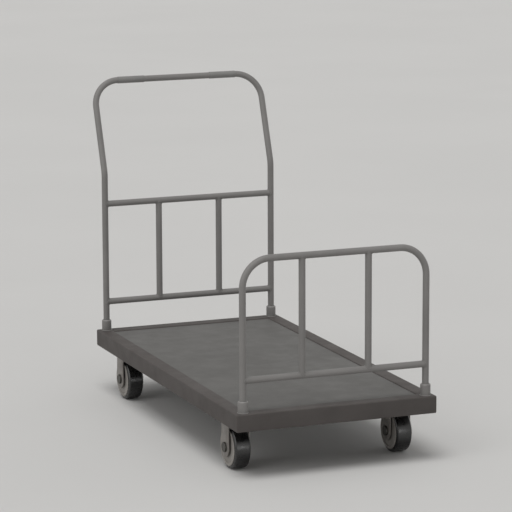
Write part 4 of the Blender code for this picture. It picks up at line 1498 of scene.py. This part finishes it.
@dataclass
class Fork:
    """A fork pressed from one strip: round feet, legs that taper upwards, and a flare up to a flat crown.

    It is measured from the middle of the axle: the crown's upper face lies at crown_top, and the crown's
    middle at offset along the deck.
    """

    gap: float
    crown_top: float
    offset: float
    sheet: float = 0.0035
    bend: float = 0.009
    leg_radius: float = 0.028
    leg_taper: float = 0.002
    flare_depth: float = 0.0115
    past_crown: float = 0.01
    crown_length: float = 0.066
    foot_points: int = 19
    edge_rounding: float = 0.0007
    edge_points: int = 4
    edge_wear_and_highlight: float = 0.7

    def edge_line(self, crown_end: float) -> Array:
        """One edge of the side view above the axle: a straight taper, the flare, then the crown's end.

        Args:
            crown_end: how far the crown reaches from the axle on this side.

        Returns:
            (reach, height) points, n x 2.
        """
        neck = self.leg_radius - self.leg_taper
        end = max(neck, crown_end)
        flare, shoulder = self.crown_top - self.flare_depth, self.crown_top - self.flare_depth / 2
        past = self.crown_top + self.past_crown
        corners = [(self.leg_radius, 0), (neck, flare), (end, shoulder), (end, past)]
        bends = (self.leg_radius * 2, self.leg_radius / 2)
        return bent_line(corners, fitting_radii(corners, bends), steps=8)[0]

    def strip_line(self, heights: Array) -> tuple[Array, Array]:
        """The strip's outer line as seen along the deck: up one leg, over the crown and down the other.

        Args:
            heights: heights above the axle that the legs' points lie at.

        Returns:
            (x, z) points and the normals that look into the strip, each n x 2.
        """
        half = self.gap / 2 + self.sheet
        foot = -self.leg_radius * np.cos(np.linspace(0, math.pi / 2, self.foot_points))[:-1]
        straight = heights[(heights >= 0) & (heights < self.crown_top - self.bend)]
        up = np.concatenate([foot, straight])
        leg = np.stack([np.full(len(up), -half), up], axis=1)[:-1]
        corners = [(-half, up[-1]), (-half, self.crown_top), (half, self.crown_top), (half, up[-1])]
        over, normals = bent_line(corners, (self.bend, self.bend), steps=20)
        line = np.concatenate([leg, over, (leg * (-1, 1))[::-1]])
        from_left, from_right = np.tile((1.0, 0.0), (len(leg), 1)), np.tile((-1.0, 0.0), (len(leg), 1))
        return line, np.concatenate([from_left, normals, from_right])

    def points(self) -> Array:
        """The strip's surface, carried along its line.

        At each height the strip reaches from the front edge to the rear edge of the side view: half a
        circle about the axle at the foot, and above the axle each edge's own line. Its section, which has
        rounded corners, runs in along the rear edge and back out along the front edge.

        Returns:
            Rows along the strip, each a closed section.
        """
        rear_edge = self.edge_line(self.crown_length / 2 + self.offset)
        front_edge = self.edge_line(self.crown_length / 2 - self.offset)
        line, inwards = self.strip_line(np.union1d(rear_edge[:, 1], front_edge[:, 1]))
        z = line[:, 1]
        foot = np.sqrt(np.maximum(self.leg_radius**2 - z**2, 0.0))
        rear, front = (np.where(z < 0, foot, np.interp(z, e[:, 1], e[:, 0])) for e in (rear_edge, front_edge))
        turn = np.linspace(0, math.pi / 2, self.edge_points)
        inset, rise = self.edge_rounding * (1 - np.sin(turn)), self.edge_rounding * (1 - np.cos(turn))
        deep = np.concatenate([rise, self.sheet - rise[::-1], self.sheet - rise, rise[::-1]])
        insets = np.concatenate([inset, inset[::-1], inset, inset[::-1]])
        shrink = np.minimum(insets[None], (rear + front)[:, None] / 2)
        at_rear = np.repeat([True, True, False, False], self.edge_points)
        along = np.where(at_rear[None], rear[:, None] - shrink, shrink - front[:, None])
        cross = line[:, None, :] + deep[None, :, None] * inwards[:, None, :]
        return np.stack([cross[..., 0], along, cross[..., 1]], axis=-1)

    def shell(self, centre: Array) -> Shell:
        """The fork in its place, painted lighter along the outer edges of its strip: partly rubbed plating,
        partly a painted edge highlight.

        Args:
            centre: the middle of the axle.

        Returns:
            The shell, to which the caller adds what is welded to it or pressed from it.
        """
        points = self.points() + centre
        # The strip's outer edges are painted lighter: partly rubbed plating, partly a painted edge highlight.
        worn_and_highlit = np.zeros(points.shape[:2])
        worn_and_highlit[:, : self.edge_points] = self.edge_wear_and_highlight
        worn_and_highlit[:, -self.edge_points :] = self.edge_wear_and_highlight
        return Shell().grid(points, wear_and_highlight=worn_and_highlit)


@dataclass
class Caster:
    """What every caster has: a bolting plate with its four bolts, an axle and a wheel."""

    bench: Bench
    place: Place
    side: Side
    plate_thickness: float = 0.003
    plate_corner: float = 0.008
    plate_rounding: float = 0.0005
    hole_inset: float = 0.012
    bolt_across: float = 0.013
    bolt_height: float = 0.0053
    bolt_washer: Washer = Washer(0.0075, 0.0015)
    fit: float = 0.0003

    def __post_init__(self) -> None:
        """Reads where the caster stands, and names its bodies."""
        self.tag = f"{self.place.value}_{self.side.value}"
        swivels = self.place is Place.REAR
        self.fork_body = f"swivel_{self.side.value}" if swivels else "deck"
        plate = f"swivel_plate_{self.side.value}" if swivels else f"fixed_bracket_{self.side.value}"
        self.plate_middle = box_centre(plate)[:2]
        self.plate_size = box_size(plate)[:2]
        self.plate_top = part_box(plate)[1].z
        self.plate_under = self.plate_top - self.plate_thickness
        self.fork_gap = box_size(f"axle_sleeve_{self.tag}")[0] + 2 * self.fit
        self.centre = box_centre(f"wheel_core_{self.tag}")

    def plate_points(self) -> Array:
        """The bolting plate, with rounded corners and edges.

        Returns:
            Rows from its lower face to its upper one.
        """
        half = self.plate_size / 2
        corners = np.array(rectangle(-half, half)) + self.plate_middle
        outline = loop_line(corners, self.plate_corner, steps=8)
        return slab(outline, self.plate_under, self.plate_top, self.plate_rounding)

    def build_plate_bolts(self) -> None:
        """Four hexagon-head bolts with washers, up through the plate into the channel."""
        reach = self.plate_size / 2 - self.hole_inset
        washer = facing(turned(self.bolt_washer.profile(), (0, 0, 0), Axis.Z, steps=32), Facing.DOWN)
        head = facing(hexagon_head(self.bolt_across, self.bolt_height), Facing.DOWN)
        shell = Shell()
        for across in (-1, 1):
            for along in (-1, 1):
                place = np.array([*(self.plate_middle + reach * (across, along)), self.plate_under])
                shell.grid(washer + place)
                shell.grid(head + place - (0, 0, self.bolt_washer.thickness))
        self.bench.finish(f"plate_bolts_{self.tag}", shell, Slot.FASTENER, "deck")

    def build_running_gear(self, fork: Fork) -> None:
        """The plate's bolts, the axle in the fork's legs, and the wheel.

        Args:
            fork: the fork that the axle clamps.
        """
        self.build_plate_bolts()
        Axle(self.bench, self.tag, self.fork_body, self.centre, fork.gap, fork.sheet).build()
        Wheel(self.bench, self.tag).build()


@dataclass
class FixedCaster(Caster):
    """A front caster, whose fork is welded under its plate with a bead along each end of its crown."""

    weld: Bead = Bead(0.0014)
    weld_half_length: float = 0.018
    weld_off: float = 0.0002
    weld_points: int = 40

    def build(self) -> None:
        """Builds and dresses every piece of the caster."""
        fork = Fork(self.fork_gap, self.plate_top - self.plate_thickness / 2 - self.centre[2], 0.0)
        shell = fork.shell(self.centre)
        shell.grid(self.plate_points(), caps=True)
        x = np.linspace(-self.weld_half_length, self.weld_half_length, self.weld_points)
        end = fork.crown_length / 2 + self.weld_off
        for y in (-end, end):
            seam = np.stack([x, np.full_like(x, y), np.full_like(x, -self.weld_off)], axis=1)
            seam += (*self.centre[:2], self.plate_under)
            shell.grid(self.weld.along(seam, (0, 0, 1), closed=False), caps=True)
        self.bench.stand_in(f"fixed_bracket_{self.side.value}", shell, Slot.CASTER, "deck")
        self.build_running_gear(fork)


@dataclass
class SwivelCaster(Caster):
    """A rear caster, whose fork turns about its kingpin on a ball race between two pressed bosses.

    The sizes follow the pieces: both bosses, the race, and the kingpin with its rivet head underneath.
    """

    boss_margin: float = 0.003
    boss_skirt: float = 0.0035
    boss_height: float = 0.004
    boss_overlap: float = 0.001
    plate_bore: float = 0.0064
    plate_boss_roundings: tuple[float, ...] = (0.0002, 0.0002, 0.0016, 0.0014, 0.0003)
    fork_bore: float = 0.0066
    fork_bore_land: float = 0.004
    fork_boss_roundings: tuple[float, ...] = (0.0003, 0.0005, 0.0014, 0.0016, 0.0002, 0.0002)
    race_bore: float = 0.0085
    race_rounding: float = 0.0016
    pin_radius: float = 0.006
    pin_sink: float = 0.002
    rivet_height: float = 0.005
    rivet_slope: float = 0.004
    rivet_edge: float = 0.0018
    pin_roundings: tuple[float, ...] = (0.0004, 0.0004, 0.0005, 0.0012, 0.0015)

    def build(self) -> None:
        """Builds and dresses every piece of the caster."""
        self.pin_y = box_centre(f"kingpin_{self.side.value}")[1]
        self.race_radius = box_size(f"ball_race_{self.side.value}")[0] / 2
        self.boss = self.race_radius + self.boss_margin
        self.build_top_plate()
        self.build_race()
        self.build_kingpin()
        self.build_running_gear(self.build_fork())

    def about_pin(self, profile: Array, steps: int = 72) -> Array:
        """A (radius, height) profile turned about the kingpin."""
        return turned(profile, (self.centre[0], self.pin_y, 0.0), Axis.Z, steps)

    def build_top_plate(self) -> None:
        """The bolting plate with the upper raceway's boss pressed down from it."""
        name = f"swivel_plate_{self.side.value}"
        low_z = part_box(name)[0].z
        inside, skirt = self.plate_under + self.boss_overlap, self.boss + self.boss_skirt
        corners = [
            (self.plate_bore, inside),
            (skirt, inside),
            (skirt, self.plate_under),
            (self.boss, low_z),
            (self.plate_bore, low_z),
        ]
        boss = loop_line(corners, self.plate_boss_roundings, steps=5)
        shell = Shell().grid(self.plate_points(), caps=True)
        shell.grid(self.about_pin(boss), wrap_rows=True)
        self.bench.stand_in(name, shell, Slot.CASTER, "deck")

    def build_fork(self) -> Fork:
        """The fork with the lower raceway's boss pressed up from its crown.

        Returns:
            The fork's sizes.
        """
        name = f"swivel_fork_{self.side.value}"
        boss_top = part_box(name)[1].z
        crown_top = boss_top - self.boss_height
        fork = Fork(self.fork_gap, crown_top - self.centre[2], self.pin_y - self.centre[1])
        under, skirt = crown_top - fork.sheet, self.boss + self.boss_skirt
        corners = [
            (self.fork_bore, under),
            (self.fork_bore, boss_top),
            (self.boss, boss_top),
            (skirt, crown_top),
            (skirt, crown_top - fork.sheet / 2),
            (self.fork_bore + self.fork_bore_land, under),
        ]
        boss = loop_line(corners, self.fork_boss_roundings, steps=5)
        shell = fork.shell(self.centre)
        shell.grid(self.about_pin(boss), wrap_rows=True)
        self.bench.stand_in(name, shell, Slot.CASTER, self.fork_body)
        return fork

    def build_race(self) -> None:
        """The hardened ball race between the bosses."""
        name = f"ball_race_{self.side.value}"
        low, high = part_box(name)
        corners = rectangle((self.race_bore, low.z), (self.race_radius, high.z))
        profile = loop_line(corners, self.race_rounding, steps=6)
        shell = Shell().grid(self.about_pin(profile), wrap_rows=True)
        self.bench.stand_in(name, shell, Slot.RACE, "deck")

    def build_kingpin(self) -> None:
        """The kingpin with its rivet head underneath."""
        name = f"kingpin_{self.side.value}"
        low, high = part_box(name)
        top, rivet_top = high.z - self.pin_sink, low.z + self.rivet_height
        rivet = box_size(name)[0] / 2
        corners = [
            (0, top),
            (self.pin_radius, top),
            (self.pin_radius, rivet_top),
            (rivet, rivet_top),
            (rivet, low.z + self.rivet_edge),
            (rivet - self.rivet_slope, low.z),
            (0, low.z),
        ]
        profile, _ = bent_line(corners, self.pin_roundings, steps=5)
        shell = Shell().grid(self.about_pin(profile, steps=64))
        self.bench.stand_in(name, shell, Slot.FASTENER, "deck")


# The studio


@dataclass(frozen=True)
class Lamp:
    """A soft light far away: where it lies, how wide it looks in degrees, and its strength."""

    name: str
    towards: Point
    spread: float
    strength: float
    distance: float = 4.0

    def build(self) -> None:
        """Hangs the lamp, whose light falls evenly from one side of the sky."""
        data = bpy.data.lights.new(self.name, "SUN")
        data.angle = math.radians(self.spread)
        data.energy = self.strength
        lamp = bpy.data.objects.new(self.name, data)
        lamp.location = Vector(self.towards) * self.distance
        lamp.rotation_euler = Vector(self.towards).to_track_quat("Z", "Y").to_euler()
        bpy.context.scene.collection.objects.link(lamp)


LAMPS = (
    Lamp("overhead_light", (-0.25, -0.20, 0.95), 35.0, 1.55),
    Lamp("left_light", (-0.85, -0.26, 0.42), 45.0, 0.55),
    Lamp("front_light", (0.20, -0.97, 0.04), 18.0, 0.30),
    Lamp("right_light", (0.94, 0.10, 0.16), 40.0, 0.42),
)


@dataclass
class Studio:
    """A pale floor, soft light from above and beside, and the photograph's camera."""

    floor_start: float = 0.5
    floor_reach: float = 60.0
    floor_rings: int = 24
    floor_colour: Point = (205, 204, 202)
    floor_roughness: float = 0.85
    floor_clouds: Pattern = Pattern(0.9, 4)
    floor_mottling: float = 0.01
    sky_level: float = 0.34
    lens: float = 202.3
    sensor: float = 36.0
    nearest: float = 0.1
    farthest: float = 200.0
    camera_place: Point = (-3.046, -7.740, 2.0745)
    camera_pitch: float = 10.747
    camera_yaw: float = 21.565
    camera_roll: float = -0.219

    def build(self) -> None:
        """Builds the floor, the light and the camera."""
        self.build_floor()
        self.build_sky()
        for lamp in LAMPS:
            lamp.build()
        self.build_camera()

    def build_floor(self) -> None:
        """A wide round floor that is seen from above only, so that a view from below isn't blocked."""
        rings = np.concatenate([[0.0], np.geomspace(self.floor_start, self.floor_reach, self.floor_rings)])
        profile = np.stack([rings, np.zeros(len(rings))], axis=1)
        mesh = Shell().grid(turned(profile, (0, 0, 0), Axis.Z, steps=96)).mesh("floor")
        if mesh.polygons[0].normal.z < 0:
            mesh.flip_normals()
        coat = Coat("floor_finish")
        cloud = coat.patches(self.floor_clouds)
        dull, fresh = linear(self.floor_colour, 1 - self.floor_mottling), linear(self.floor_colour)
        material = coat.lay({"Base Color": coat.blend(cloud, dull, fresh), "Roughness": self.floor_roughness})
        back = coat.add("NewGeometry").outputs["Backfacing"]
        clear = coat.add("BsdfTransparent").outputs["BSDF"]
        shown = coat.mix(back, coat.shader.outputs["BSDF"], clear)
        coat.feed(coat.nodes["Material Output"].inputs["Surface"], shown)
        mesh.materials.append(material)
        floor = bpy.data.objects.new("floor", mesh)
        bpy.context.scene.collection.objects.link(floor)

    def build_sky(self) -> None:
        """An even light from all round. Rays from the camera, and reflections, see the pale backdrop."""
        world = bpy.data.worlds.new("studio")
        world.use_nodes = True
        bpy.context.scene.world = world
        wire = Wiring(world.node_tree)
        glow = wire.nodes["Background"]
        wire.feed(glow.inputs["Color"], (1.0, 1.0, 1.0, 1.0))
        wire.feed(glow.inputs["Strength"], self.sky_level)
        backdrop = wire.add("Background", {"Color": linear(self.floor_colour)})
        path = wire.add("LightPath")
        share = path.outputs["Is Camera Ray"]
        for kind in ("Is Glossy Ray", "Is Transmission Ray"):
            share = wire.join(Join.LARGER, share, path.outputs[kind])
        mixed = wire.mix(share, glow.outputs["Background"], backdrop.outputs["Background"])
        wire.feed(wire.nodes["World Output"].inputs["Surface"], mixed)

    def build_camera(self) -> None:
        """The camera at the photograph's angle: it looks towards the handle, a little down and rightwards."""
        angles = (self.camera_pitch, self.camera_yaw, self.camera_roll)
        pitch, yaw, roll = (math.radians(angle) for angle in angles)
        ahead = Vector((math.sin(yaw) * math.cos(pitch), math.cos(yaw) * math.cos(pitch), -math.sin(pitch)))
        level = ahead.cross(Vector((0, 0, 1))).normalized()
        right = level * math.cos(roll) + level.cross(ahead) * math.sin(roll)
        up = right.cross(ahead)
        data = bpy.data.cameras.new("photo_camera")
        data.lens = self.lens
        data.sensor_width = self.sensor
        data.clip_start = self.nearest
        data.clip_end = self.farthest
        camera = bpy.data.objects.new("photo_camera", data)
        turn = Matrix((right, up, -ahead)).transposed()
        camera.matrix_world = Matrix.Translation(self.camera_place) @ turn.to_4x4()
        bpy.context.scene.collection.objects.link(camera)
        bpy.context.scene.camera = camera


def main() -> None:
    """Loads the frame, then builds the deck, the hoops, the casters and the studio."""
    logging.basicConfig(level=logging.INFO, format="%(name)s: %(message)s")
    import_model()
    bench = Bench()
    Deck(bench).build()
    Guard(bench).build()
    Handle(bench).build()
    for side in Side:
        FixedCaster(bench, Place.FRONT, side).build()
        SwivelCaster(bench, Place.REAR, side).build()
    Studio().build()
    bpy.context.scene.view_settings.view_transform = "Standard"
    bpy.context.view_layer.update()
    LOG.info("%d pieces", bench.made)


if __name__ == "__main__":
    main()
